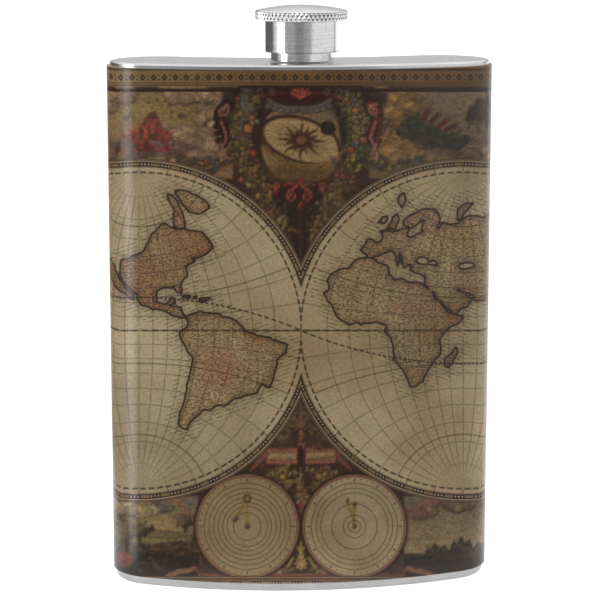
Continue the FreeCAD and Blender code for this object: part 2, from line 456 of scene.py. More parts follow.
def plate_edge(start, outer, edge, up):
    """A plate's side and rounded edge as (inset, height) pairs; up is +1 or -1."""
    profile = [(PLATE_INSIDE, start), (SKIN + 0.05, start), (SKIN, start + 0.05 * up)]
    profile += [(SKIN, z) for z in np.linspace(start + 0.3 * up, outer - edge * up, 5)]
    for turn in np.radians(np.linspace(10, 90, 9)):
        profile.append((SKIN + edge * (1 - math.cos(turn)), outer - edge * (1 - math.sin(turn)) * up))
    return profile


def plate_piece(name, rows, node, steel, flip):
    """A closed plate from rows of points that go once round its section."""
    faces = loop_faces(len(rows), PLATE_COLUMNS, flip=flip)
    last = (len(rows) - 1) * PLATE_COLUMNS
    for c in range(PLATE_COLUMNS):
        quad = (last + c, last + (c + 1) % PLATE_COLUMNS, (c + 1) % PLATE_COLUMNS, c)
        faces.append(quad[::-1] if flip else quad)
    plate = mesh_piece(name, np.concatenate(rows), faces, "flask", node)
    plate.data.materials.append(steel)
    plate.data.set_sharp_from_angle(angle=math.radians(40))


def make_top_plate(steel):
    """The top plate: a rolled edge, and a flat with a hole round the neck."""
    low, high = (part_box("top_plate")[k].z / MM for k in (0, 1))
    rows = outline_rows(plate_edge(low, high, 0.6, 1), PLATE_ROUND)
    rim = rows[-1]
    around = np.arctan2(rim[:, 0], NECK_Y - rim[:, 1])
    hole = np.stack([NECK_HOLE * np.sin(around), NECK_Y - NECK_HOLE * np.cos(around), rim[:, 2]], 1)
    rows += [rim * (1 - share) + hole * share for share in np.linspace(0, 1, 13)[1:]]
    rows.append(hole - (0, 0, PLATE_SHEET))
    rows += outline_rows([(PLATE_INSIDE, high - PLATE_SHEET)], PLATE_ROUND)
    plate_piece("top", rows, "top_plate", steel, False)


def make_base_plate(steel):
    """The base plate: a rounded edge, a rim to stand on and a shallow recess."""
    low, high = (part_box("base_plate")[k].z / MM for k in (0, 1))
    recess, inset = 0.8, 5.0
    profile = plate_edge(high, low, 0.8, -1)
    profile += [(inset - 0.35, low), (inset - 0.1, low + 0.08), (inset, low + 0.25)]
    profile += [(inset + 0.1, low + recess - 0.15), (inset + 0.4, low + recess)]
    profile += [(i, low + recess) for i in (7.0, 9.0, 11.0, 11.4)]
    profile += [(i, low + recess + PLATE_SHEET) for i in (11.4, 7.0, inset - 0.7)]
    profile += [(inset - 0.75, low + PLATE_SHEET), (PLATE_INSIDE, low + PLATE_SHEET)]
    plate_piece("base", outline_rows(profile, PLATE_ROUND), "base_plate", steel, True)


# ---------------------------------------------------------------------- chart lines
# The print is laid out in chart mm: u to the right of the middle of the front, v up
# from the line through both hemispheres' middles.
MAP_ASIDE = 38.6             # from the middle of the front to a hemisphere's middle
MAP_RADIUS = 38.2
MAP_WIDE, MAP_HIGH = 1.013, 0.987

# Coasts in degrees of latitude and longitude from a hemisphere's middle
WEST_LANDS = {
    "south": [(8.6, 32), (7, 33.2), (4, 34), (1.8, 32.5), (0.5, 29.5), (-1, 28.4), (-6, 29.6),
        (-9.2, 31.5), (-14, 33.6), (-17, 37.2), (-19.5, 38), (-24, 37.6), (-30, 37), (-40, 37),
        (-49.5, 37.5), (-54, 38), (-56.5, 39.5), (-58, 43), (-58, 48), (-55.5, 48), (-52.5, 48),
        (-50.5, 50.5), (-47.5, 51.5), (-45.3, 54.5), (-44, 58), (-41.5, 60), (-40, 63), (-38, 66.5),
        (-35.3, 67.2), (-33, 70), (-30.5, 74), (-28, 77.7), (-26, 77.5), (-23.5, 78.4), (-24, 82),
        (-22, 82.6), (-18.3, 82.3), (-12.5, 82.2), (-10.5, 83.3), (-8.8, 85), (-5.8, 85.3), (-4.8, 83),
        (-4, 80.3), (-3, 78), (-2.6, 74), (-1.5, 70), (-0.6, 66), (0.8, 65.7), (2.3, 65), (4.8, 62.8),
        (6.2, 60), (7.4, 57), (9, 53.5), (10.3, 50), (11, 45), (12, 42), (11.6, 38), (10, 36)],
    "north": [(47, -15.5), (44.5, -16), (37.5, -15), (32.5, -10.5), (28.5, -5), (25.5, -1.5),
        (22.7, -0.3), (18.7, 1), (17, 5), (15.5, 10), (15, 15.5), (14, 18.5), (11.7, 21.5), (10, 24.3),
        (8.8, 28), (8.6, 32), (10.4, 31.4), (13, 30.3), (15.5, 29.5), (16.8, 27.5), (16.5, 24.5),
        (17, 21.5), (19, 25.5), (21.3, 26.3), (22.3, 23.3), (21, 22), (18.6, 19.8), (18.6, 17),
        (20.5, 13.5), (24, 12.8), (27, 13), (28.6, 15.5), (29.7, 20), (29.6, 24), (30, 26.3), (27.3, 27),
        (25, 28.6), (24.5, 31), (27.5, 31.5), (31.3, 31), (33, 34), (34.5, 37.3), (37, 37.5),
        (40.3, 37.3), (41, 41.3), (42, 44.5), (44, 44.3), (43, 50), (43.5, 55), (45, 61), (48, 61),
        (51, 60), (54, 59), (55.5, 56.5), (57, 53), (58.5, 50), (60.3, 43), (62, 38.5), (64, 34),
        (65.8, 31), (66, 28), (64.6, 22.8), (63, 18), (61.3, 12.8), (58.5, 9.8), (56, 7.8), (52, 2),
        (50, -6), (49, -12)],
    "narrow_island": [(46, -27), (43, -21.5), (36.5, -16), (31, -11.2), (27, -6.6), (23.6, -3),
        (22.4, -4.6), (26, -11), (28.5, -16), (31.5, -21), (37, -27), (43, -31)],
    "snow": [(70, 62), (66.5, 61.5), (62.8, 62), (61.4, 66), (60.5, 71), (60.2, 77), (63, 78.6), (66, 78),
        (70, 77), (73.5, 74), (75, 68), (72.5, 64)],
    "arctic": [(76.5, 57), (74, 61), (71, 60), (69, 56), (65, 54.5), (62, 52), (60, 49.5), (61, 43),
        (63.5, 40), (67, 45), (70, 50), (73.5, 51)],
    "long_isle": [(23.2, 31), (22.8, 35), (21.2, 40.5), (20.4, 40), (21.6, 35), (22.2, 31)],
    "round_isle": [(19.8, 42), (20, 45.5), (18.7, 48.8), (17.8, 46), (18.1, 42)],
    "far_east": [(62, -88), (55, -78), (50, -80), (43, -84), (36, -88)],
    "far_south": [(-30, -88), (-22, -80), (-28, -74), (-36, -73), (-42, -80), (-44, -88)],
    "twin_isle": [(-36, -62), (-40, -57), (-44, -60), (-47, -66), (-42, -66)],
}
EAST_LANDS = {
    "africa": [(36.8, -67.5), (35.3, -71), (34, -74), (31.5, -75), (29, -75.5), (27.8, -77), (26.3, -80),
        (24.3, -82), (20.3, -83.2), (18.3, -81.3), (16.5, -81.5), (15, -83), (12.5, -81), (8.8, -77.5),
        (6.5, -76), (4.8, -74.5), (4.2, -72), (3, -70), (4, -67.3), (3.3, -64.5), (4.1, -61.7),
        (4.5, -57), (3.7, -54.3), (3.7, -50.7), (2, -50.3), (-0.8, -51.8), (-3, -50), (-4.8, -48),
        (-8.7, -47.2), (-15.3, -46.8), (-17, -48), (-20.8, -45), (-24.3, -42.7), (-28.5, -41.7),
        (-32.5, -41.3), (-35, -40.7), (-35.5, -38), (-35, -35), (-33.3, -30.5), (-31, -28.8),
        (-25.2, -24.5), (-23.3, -21.5), (-20.5, -20.8), (-18, -17.3), (-15.3, -15.2), (-11.6, -15.5),
        (-8.5, -16.3), (-4.5, -15.8), (-0.3, -12), (1.7, -10.7), (3.4, -7.5), (4.7, -4.5), (7.5, -1.5),
        (10.3, 0), (11, -4), (11.8, -7.8), (13.2, -10.2), (15.8, -13.5), (19.5, -16.7), (22.3, -20),
        (27, -24.5), (30.5, -30), (31.5, -32.5), (30.8, -37.5), (30.6, -42), (31.2, -46), (29.8, -49.5),
        (31.3, -52), (32, -54), (34.4, -54.3), (36, -56.5), (36.5, -60.8), (36.3, -64.5)],
    "long_isle": [(-12.3, -5), (-14.8, -3.8), (-18, -5.3), (-23.3, -8), (-26.3, -10.7), (-24.5, -14),
        (-19.5, -13.3), (-17.5, -10), (-15.5, -7.3), (-13, -6.5)],
    "eurasia": [(37, -67.2), (36.8, -71), (37.8, -75.3), (40, -74.5), (42, -74.5), (43.5, -75),
        (44.5, -72.5), (44.3, -69), (45.2, -67.3), (47, -67), (48.5, -68.8), (49.8, -71.5), (50.7, -68.8),
        (52, -64), (54, -61), (56.5, -57.5), (58.5, -55.5), (57, -53.5), (54, -52.5), (54.5, -48),
        (57, -46), (59.5, -42), (60.5, -45), (64, -46.5), (65.5, -45), (64, -49), (60, -51), (57, -55),
        (58, -62), (60.5, -62.5), (63, -60.5), (66, -58), (68, -56), (70, -50), (71.5, -42.5),
        (70.5, -37.5), (68.5, -31), (66, -30), (65, -33), (64, -29), (67, -25), (67, -15), (68, -8),
        (70, 0), (72, 8), (71, 20), (69, 30), (68, 45), (62, 60), (55, 58), (48, 62), (40, 60), (37, 64),
        (31, 62), (24, 57), (20, 49), (12, 49), (9, 46), (15, 44), (10, 42), (2, 43), (8, 40), (17, 38),
        (21, 32), (15, 30), (8, 27), (12, 24), (19, 21), (22, 18), (21.3, 8.3), (24, 7.5), (26.5, 4.2),
        (29.5, -4.8), (28, -4.5), (25.5, 2), (22, 6.5), (18, 3.5), (15.8, 0), (14.3, -2.3), (12.3, -4.6),
        (12.4, -7), (14.8, -9.5), (17.3, -12.7), (22.5, -18.8), (26.3, -22.2), (30.3, -28.6),
        (32.3, -29.5), (35.3, -29.2), (36, -32), (36.5, -37), (38, -41.3), (40.8, -41.5), (40, -43.5),
        (37.5, -44.8), (40, -46.8), (42.3, -48.8), (45, -52.5), (43, -52), (40.3, -49.6), (38.3, -50.8),
        (40.5, -52.5), (43, -55), (44, -57.5), (42.7, -60), (41, -62.5), (39, -64.5)],
    "twin_isle_north": [(52, -69.8), (56, -69), (57.5, -70.5), (59.3, -69), (58.5, -66), (56, -64.6),
        (53.3, -63.5), (53, -66.5)],
    "twin_isle_west": [(51.5, -76), (54.7, -76.2), (56.3, -74), (55.3, -72), (52.7, -72.3)],
    "ice_isle": [(65.5, -82), (67, -81), (65.5, -73), (63, -71.5), (63, -76), (64, -80)],
    "frost": [(76, -4), (73.2, -9.5), (69.6, -8.5), (70.5, -3), (74, 6), (77, 20), (78, 8)],
    "spice": [(6, 52), (0, 48), (-6, 46), (-3, 55), (2, 60), (6, 58)],
    "south_land": [(-12, 62), (-18, 52), (-28, 46), (-34, 50), (-38, 62), (-36, 75), (-25, 84),
        (-12, 80)],
}
EAST_SEAS = [
    [(46, -37.5), (46.7, -33), (45.2, -28.5), (46.2, -24), (45, -20.8), (43, -22), (43, -28), (42.4, -34),
     (43.2, -39)],
    [(46, -3), (46.4, 3), (46, 8), (44, 10), (42.7, 5), (42.3, -1), (43.6, -3.8)],
]


def globe_to_chart(side, places):
    """Chart places of (latitude, longitude) points on the left (-1) or right (+1) hemisphere."""
    lat, lon = np.radians(np.asarray(places, float)).T
    size = MAP_RADIUS / (1 + np.cos(lat) * np.cos(lon))
    return np.stack([side * MAP_ASIDE + MAP_WIDE * size * np.cos(lat) * np.sin(lon),
        MAP_HIGH * size * np.sin(lat)], 1)


def rough_line(points, step, size, seed):
    """A closed outline cut into short runs that wander a little, as a coast does."""
    rng = np.random.default_rng(seed)
    made = []
    for a, b in zip(points, np.roll(points, -1, 0)):
        count = max(1, int(round(np.linalg.norm(b - a) / step)))
        made += [a + (b - a) * i / count for i in range(count)]
    made = np.array(made)
    return made + rng.normal(0, size, made.shape)


def to_outline(u, v, outline_points):
    """Distance to a closed outline, + inside it, for points near it; -9 mm elsewhere."""
    low, high = outline_points.min(0) - 4, outline_points.max(0) + 4
    near = np.nonzero((u > low[0]) & (u < high[0]) & (v > low[1]) & (v < high[1]))[0]
    found = np.full(len(u), -9.0)
    if not len(near):
        return found
    x, y = u[near], v[near]
    best = np.full(len(near), 81.0)
    inside = np.zeros(len(near), bool)
    for (ax, ay), (bx, by) in zip(outline_points, np.roll(outline_points, -1, 0)):
        dx, dy = bx - ax, by - ay
        share = np.clip(((x - ax) * dx + (y - ay) * dy) / (dx * dx + dy * dy + 1e-9), 0, 1)
        best = np.minimum(best, (x - ax - share * dx) ** 2 + (y - ay - share * dy) ** 2)
        if ay != by:
            crosses = (ay > y) != (by > y)
            inside ^= crosses & (x < ax + (y - ay) * dx / dy)
    found[near] = np.maximum(np.where(inside, 1, -1) * np.sqrt(best), -9)
    return found


def coast_distance(u, v):
    """Distance to the nearest coast, + on land."""
    land = np.full(len(u), -9.0)
    for side, lands in ((-1, WEST_LANDS), (1, EAST_LANDS)):
        for seed, places in enumerate(lands.values()):
            shape = rough_line(globe_to_chart(side, places), 0.9, 0.13, seed)
            land = np.maximum(land, to_outline(u, v, shape))
    for seed, places in enumerate(EAST_SEAS):
        shape = rough_line(globe_to_chart(1, places), 0.9, 0.1, seed)
        land = np.minimum(land, -to_outline(u, v, shape))
    return land


# ------------------------------------------------------------------------- painting
def tone(red, green, blue):
    """A colour of the print, given as it looks in the picture, as linear light."""
    colour = np.array([red, green, blue]) / 255
    return np.where(colour <= 0.04045, colour / 12.92, ((colour + 0.055) / 1.055) ** 2.4)


def mottle(u, v, size, seed, octaves=3):
    """Smooth seeded noise about 0, between about -1 and 1."""
    total = np.zeros(len(u))
    for octave in range(octaves):
        rng = np.random.default_rng(seed * 10 + octave)
        grid = rng.uniform(-1, 1, (64, 64))
        x, y = u / size * 2 ** octave, v / size * 2 ** octave
        i, j = np.floor(x).astype(int), np.floor(y).astype(int)
        fx, fy = x - i, y - j
        fx, fy = fx * fx * (3 - 2 * fx), fy * fy * (3 - 2 * fy)
        i, j, k, m = i % 64, j % 64, (i + 1) % 64, (j + 1) % 64
        total += (grid[i, j] * (1 - fx) * (1 - fy) + grid[k, j] * fx * (1 - fy) + grid[i,
            m] * (1 - fx) * fy + grid[k, m] * fx * fy) / 2 ** octave
    return total / 1.5


class Painter:
    """Lays colours on the wrap's points with soft-edged shapes, in chart mm."""

    def __init__(self, u, v):
        self.u, self.v = u, v
        self.colour = np.tile(tone(53, 36, 25), (len(u), 1))

    def near(self, low, high):
        """The points inside a box."""
        across = (self.u > low[0]) & (self.u < high[0])
        return np.nonzero(across & (self.v > low[1]) & (self.v < high[1]))[0]

    def lay(self, share, colour, where=slice(None)):
        """Lays a share of a colour over points."""
        self.colour[where] += np.clip(share, 0, 1)[:, None] * (colour - self.colour[where])

    def blob(self, at, size, colour, turn=0.0, soft=0.35, strength=1.0):
        """An ellipse with half sizes size, turned by degrees; one number makes it round."""
        size = np.broadcast_to(size, 2)
        reach = max(size) + soft
        where = self.near(np.subtract(at, reach), np.add(at, reach))
        x, y = self.u[where] - at[0], self.v[where] - at[1]
        c, s = math.cos(math.radians(turn)), math.sin(math.radians(turn))
        far = np.hypot((x * c + y * s) / size[0], (y * c - x * s) / size[1])
        self.lay(np.clip((1 - far) * min(size) / soft + 0.5, 0, 1) * strength, colour, where)

    def stroke(self, points, width, colour, strength=1.0, taper=0.0, soft=0.3):
        """A brush stroke along points; width may shrink by taper towards its end."""
        points = np.asarray(points, float)
        where = self.near(points.min(0) - width - soft, points.max(0) + width + soft)
        x, y = self.u[where], self.v[where]
        share = np.zeros(len(where))
        count = len(points) - 1
        for k, ((ax, ay), (bx, by)) in enumerate(zip(points[:-1], points[1:])):
            dx, dy = bx - ax, by - ay
            along = np.clip(((x - ax) * dx + (y - ay) * dy) / (dx * dx + dy * dy + 1e-9), 0, 1)
            far = np.hypot(x - ax - along * dx, y - ay - along * dy)
            half = width / 2 * (1 - taper * (k + along) / count)
            share = np.maximum(share, np.clip((half - far) / soft + 0.5, 0, 1))
        self.lay(share * strength, colour, where)

    def brush(self, points, *details, **soft):
        """A stroke that runs smoothly through a few points."""
        self.stroke(curve(points), *details, **soft)

    def fan(self, at, turns, reach, width, colour, strength, taper, back=0.0):
        """Strokes that spread from a point; reach is how far across and up, back where they start."""
        for turn in turns:
            aim = np.array((math.cos(math.radians(turn)), math.sin(math.radians(turn))))
            self.stroke([at + back * aim, at + reach * aim], width, colour, strength, taper)

    def shape(self, points, colour, soft=0.35, strength=1.0):
        """A filled outline."""
        inside = to_outline(self.u, self.v, np.asarray(points, float))
        where = np.nonzero(inside > -soft)[0]
        self.lay(np.clip(inside[where] / soft + 0.5, 0, 1) * strength, colour, where)


def curve(points, steps=8):
    """A smooth line through a few points."""
    points = np.asarray(points, float)
    padded = np.concatenate([[2 * points[0] - points[1]], points, [2 * points[-1] - points[-2]]])
    made = []
    for a, b, c, d in zip(padded[:-3], padded[1:-2], padded[2:-1], padded[3:]):
        for t in np.arange(steps) / steps:
            made.append(0.5 * (2 * b + (c - a) * t + (2 * a - 5 * b + 4 * c - d) * t * t
                               + (3 * b - a - 3 * c + d) * t ** 3))
    made.append(points[-1])
    return np.array(made)


def volute(centre, radius, start, turns, tail=None):
    """A spiral that winds in to a centre; + turns wind anticlockwise."""
    made = []
    if tail is not None:
        made.append(np.asarray(tail, float))
    for share in np.linspace(0, 1, 26):
        angle = math.radians(start) + share * turns * 2 * math.pi
        reach = radius * (1 - 0.82 * share)
        made.append(np.add(centre, (reach * math.cos(angle), reach * math.sin(angle))))
    return np.array(made)


def leaves(paint, path, count, spread, size, colours, seed):
    """Small leaves scattered along a path."""
    rng = np.random.default_rng(seed)
    line_points = curve(path, 12)
    for _ in range(count):
        at = line_points[rng.integers(len(line_points))] + rng.normal(0, spread, 2)
        length = size * rng.uniform(0.6, 1.4)
        colour = colours[rng.integers(len(colours))] * rng.uniform(0.6, 1.25)
        paint.blob(at, (length, length * 0.38), colour, rng.uniform(0, 180), 0.3, 0.85)


def fruit(paint, at, size, colour):
    """A round fruit with a dark edge and a lit side."""
    paint.blob(at, size * 1.3, tone(24, 15, 10), soft=0.4, strength=0.8)
    paint.blob(at, size, colour * 0.6, soft=0.35)
    paint.blob(np.add(at, (-0.18 * size, 0.2 * size)), size * 0.62, colour, soft=0.5)
    paint.blob(np.add(at, (-0.3 * size, 0.34 * size)), size * 0.25, colour * 1.7, soft=0.35, strength=0.6)


LEAF_TONES = [tone(70, 60, 36), tone(92, 74, 42), tone(52, 44, 28), tone(80, 56, 34), tone(62, 60, 50)]
GOLD_TONES = [tone(118, 92, 56), tone(94, 70, 42), tone(136, 110, 72), tone(74, 52, 32)]
BERRY_TONES = [tone(122, 100, 58), tone(112, 88, 52), tone(104, 66, 44), tone(88, 78, 46)]
RED_TONE = tone(122, 52, 38)
DEEP_RED = tone(66, 24, 18)
INK_TONE = tone(34, 20, 13)


def mirrored(points, side, middle=-0.4):
    """Points about the picture's middle line, turned over to the left for side -1."""
    return [(middle + side * (x - middle), y) for x, y in points]


def paint_title(paint):
    """The band along the top edge."""
    u, v = paint.u, paint.v
    light = np.clip((-u - 10) / 40, 0, 1) * (np.abs(u) < 60)
    colour = tone(104, 76, 44) + light[:, None] * (tone(128, 102, 66) - tone(104, 76, 44))
    colour = colour * (1 + 0.22 * mottle(u, v * 3, 7, 3))[:, None]
    paint.lay(np.clip((v - 57.9) / 0.4, 0, 1), colour)


def puff(paint, at, size, colour, shade):
    """One round billow of a cloud, dark at its rim and lit from the upper left."""
    paint.blob(at, (size * 1.1, size * 0.74), shade * 0.8, soft=0.4, strength=0.8)
    paint.blob(np.add(at, (-0.08 * size, 0.12 * size)), (size * 0.96, size * 0.6), colour * 0.9,
        soft=0.35, strength=0.95)
    paint.blob(np.add(at, (-0.26 * size, 0.3 * size)), (size * 0.48, size * 0.32), colour * 1.4, soft=0.6,
        strength=0.7)


def cloud_bank(paint, path, count, spread, size, colours, shade, seed):
    """Billows piled along a path, the lowest in front."""
    rng = np.random.default_rng(seed)
    spine = curve(path, 10)
    places = spine[rng.integers(len(spine), size=count)] + rng.normal(0, spread, (count, 2))
    for at in places[np.argsort(-places[:, 1])]:
        scale, light = rng.uniform(0.8, 1.75), rng.uniform(0.8, 1.25)
        puff(paint, at, size * scale, colours[rng.integers(len(colours))] * light, shade)


def paint_ground(paint, low, high, top, bottom, seed):
    """A panel's ground, shaded from bottom to top, with faint streaks."""
    where = paint.near(low, high)
    u, v = paint.u[where], paint.v[where]
    share = np.clip((v - low[1]) / (high[1] - low[1]), 0, 1)[:, None]
    colour = (bottom + (top - bottom) * share) * (1 + 0.2 * mottle(u, v * 1.8, 5, seed, 4))[:, None]
    edge = np.minimum.reduce([u - low[0], high[0] - u, v - low[1], high[1] - v])
    paint.lay(np.clip(edge / 0.5, 0, 1), colour, where)


def paint_left_panel(paint):
    """The upper left panel: a golden sky, tan clouds and a spray of red leaves."""
    paint_ground(paint, (-66, 36), (-16, 57.2), tone(128, 106, 62), tone(112, 86, 58), 21)
    tan = [tone(128, 102, 78), tone(116, 92, 72), tone(138, 112, 84)]
    rim = tone(78, 56, 42)
    cloud_bank(paint, [(-31, 57), (-24, 54.5), (-19, 52)], 21, 1.2, 1.7, tan, rim, 22)
    cloud_bank(paint, [(-20, 53), (-21, 48), (-19.5, 43)], 29, 1.6, 1.6, tan, rim, 23)
    cloud_bank(paint, [(-31, 47), (-26, 45.5), (-22, 44)], 22, 1.3, 1.5, tan, rim, 24)
    cloud_bank(paint, [(-64, 53), (-50, 54), (-44, 55.5), (-40, 56)], 25, 1.0, 1.5, tan, rim, 25)
    cloud_bank(paint, [(-64, 45), (-52, 43), (-45, 42.8), (-36, 42), (-29, 41.4), (-22, 40)], 56, 1.0,
        1.6, [tone(112, 84, 66), tone(92, 70, 58), tone(126, 98, 74)], tone(64, 44, 34), 26)
    paint.shape(curve([(-42.4, 43.6), (-41, 46.4), (-38.4, 48.4), (-36.4, 51.6), (-34.4, 51.8),
        (-33, 48.6), (-30.6, 46), (-30.4, 43.8), (-36, 43)], 5), tone(62, 20, 15), 0.7, 0.85)
    rng = np.random.default_rng(27)
    for seed, (x, y) in enumerate(((-41, 45.6), (-39, 46.6), (-37, 47.6), (-35.4, 48.8), (-33.6, 47),
            (-32, 45.4))):
        for _ in range(9):
            angle = rng.uniform(60, 150) if seed < 3 else rng.uniform(20, 120)
            length = rng.uniform(1.8, 3.4)
            tip = (x + length * math.cos(math.radians(angle)),
                y + length * 0.7 * math.sin(math.radians(angle)))
            red = [RED_TONE, tone(138, 64, 44), tone(96, 36, 26)][rng.integers(3)]
            paint.stroke(curve([(x, y - 1.4), (x, y), tip], 4), rng.uniform(0.7, 1.3), red, 0.9, 0.8)
    leaves(paint, [(-43, 44.2), (-38, 43.8), (-31, 44)], 60, 0.5, 1.2, [DEEP_RED, RED_TONE,
        tone(96, 86, 82)], 28)
    for x, y in ((-36.4, 54.3), (-34.1, 54.8), (-32.4, 54.5), (-31.2, 53.6), (-35.4, 53), (-30.8, 52),
            (-31, 50.6)):
        paint.blob((x, y), 0.35, tone(80, 62, 36), soft=0.4)
    for x, y, lean in ((-41.2, 50.8, 30), (-28.2, 51, -8), (-22.6, 49.5, 60), (-21.8, 54.2, 10)):
        paint.fan((x, y), (lean - 28, lean, lean + 28), (1.7, 1.7), 0.8, tone(70, 54, 40), 0.7, 0.7, -0.8)


def paint_right_panel(paint):
    """The upper right panel: rolling golden clouds before a grey sky, and dark foliage."""
    paint_ground(paint, (16, 36), (66, 57.2), tone(112, 96, 72), tone(104, 82, 56), 34)
    gold = [tone(128, 96, 54), tone(112, 82, 46), tone(138, 106, 62)]
    cloud_bank(paint, [(19, 55.5), (24, 54), (28, 55)], 27, 1.4, 1.6, gold, tone(84, 58, 32), 35)
    cloud_bank(paint, [(20.5, 50), (24, 48), (22, 44), (27, 42.5)], 41, 1.6, 1.6, gold, tone(80, 54, 30),
        36)
    cloud_bank(paint, [(30, 43), (36, 42), (44, 42.6), (56, 43)], 43, 1.0, 1.5, [tone(108, 84, 60),
        tone(88, 66, 54), tone(120, 96, 66)], tone(62, 44, 34), 37)
    green = [tone(50, 50, 30), tone(66, 66, 40), tone(36, 32, 22), tone(44, 42, 30)]
    paint.shape(curve([(22.6, 46.6), (24.8, 50), (28.4, 50.2), (31, 48), (35.6, 47), (40, 45.6),
        (38, 43.4), (30, 43.6), (26, 45), (22.6, 46.6)], 5), tone(24, 20, 13), 0.8, 0.8)
    rng = np.random.default_rng(38)
    spray = curve([(23.5, 47), (27, 49.5), (30.5, 47), (34, 45.2), (38.5, 44.6)], 10)
    for _ in range(150):
        root = spray[rng.integers(len(spray))] + rng.normal(0, 0.8, 2)
        angle, length = math.radians(rng.uniform(20, 160)), rng.uniform(1.2, 3.0)
        tip = root + (length * math.cos(angle), length * 0.8 * math.sin(angle))
        paint.stroke([root, tip], rng.uniform(0.6, 1.3), green[rng.integers(4)], 0.85, 0.8)
    for x, y, lean in ((29, 50, 60), (31, 49.6, 48), (33, 48.6, 42), (34.5, 47.8, 28)):
        paint.fan((x, y), (lean - 10, lean, lean + 10), (3.6, 3.4), 1.1, tone(78, 30, 24), 0.95, 0.9)
    for x, y, radius in ((37, 48, 1.3), (38.7, 45.8, 1.3), (21.4, 49.6, 1.1), (41.5, 50.5, 1.5)):
        paint.stroke(volute((x, y), radius, 200, 1.1, (x - 1.5, y - 2.2)), 0.6, tone(60, 48, 38), 0.85,
            0.3)
    leaves(paint, [(41, 53), (43.5, 51), (47, 52), (56, 50)], 60, 1.2, 1.5, [tone(70, 50, 40),
        tone(54, 38, 34)], 39)


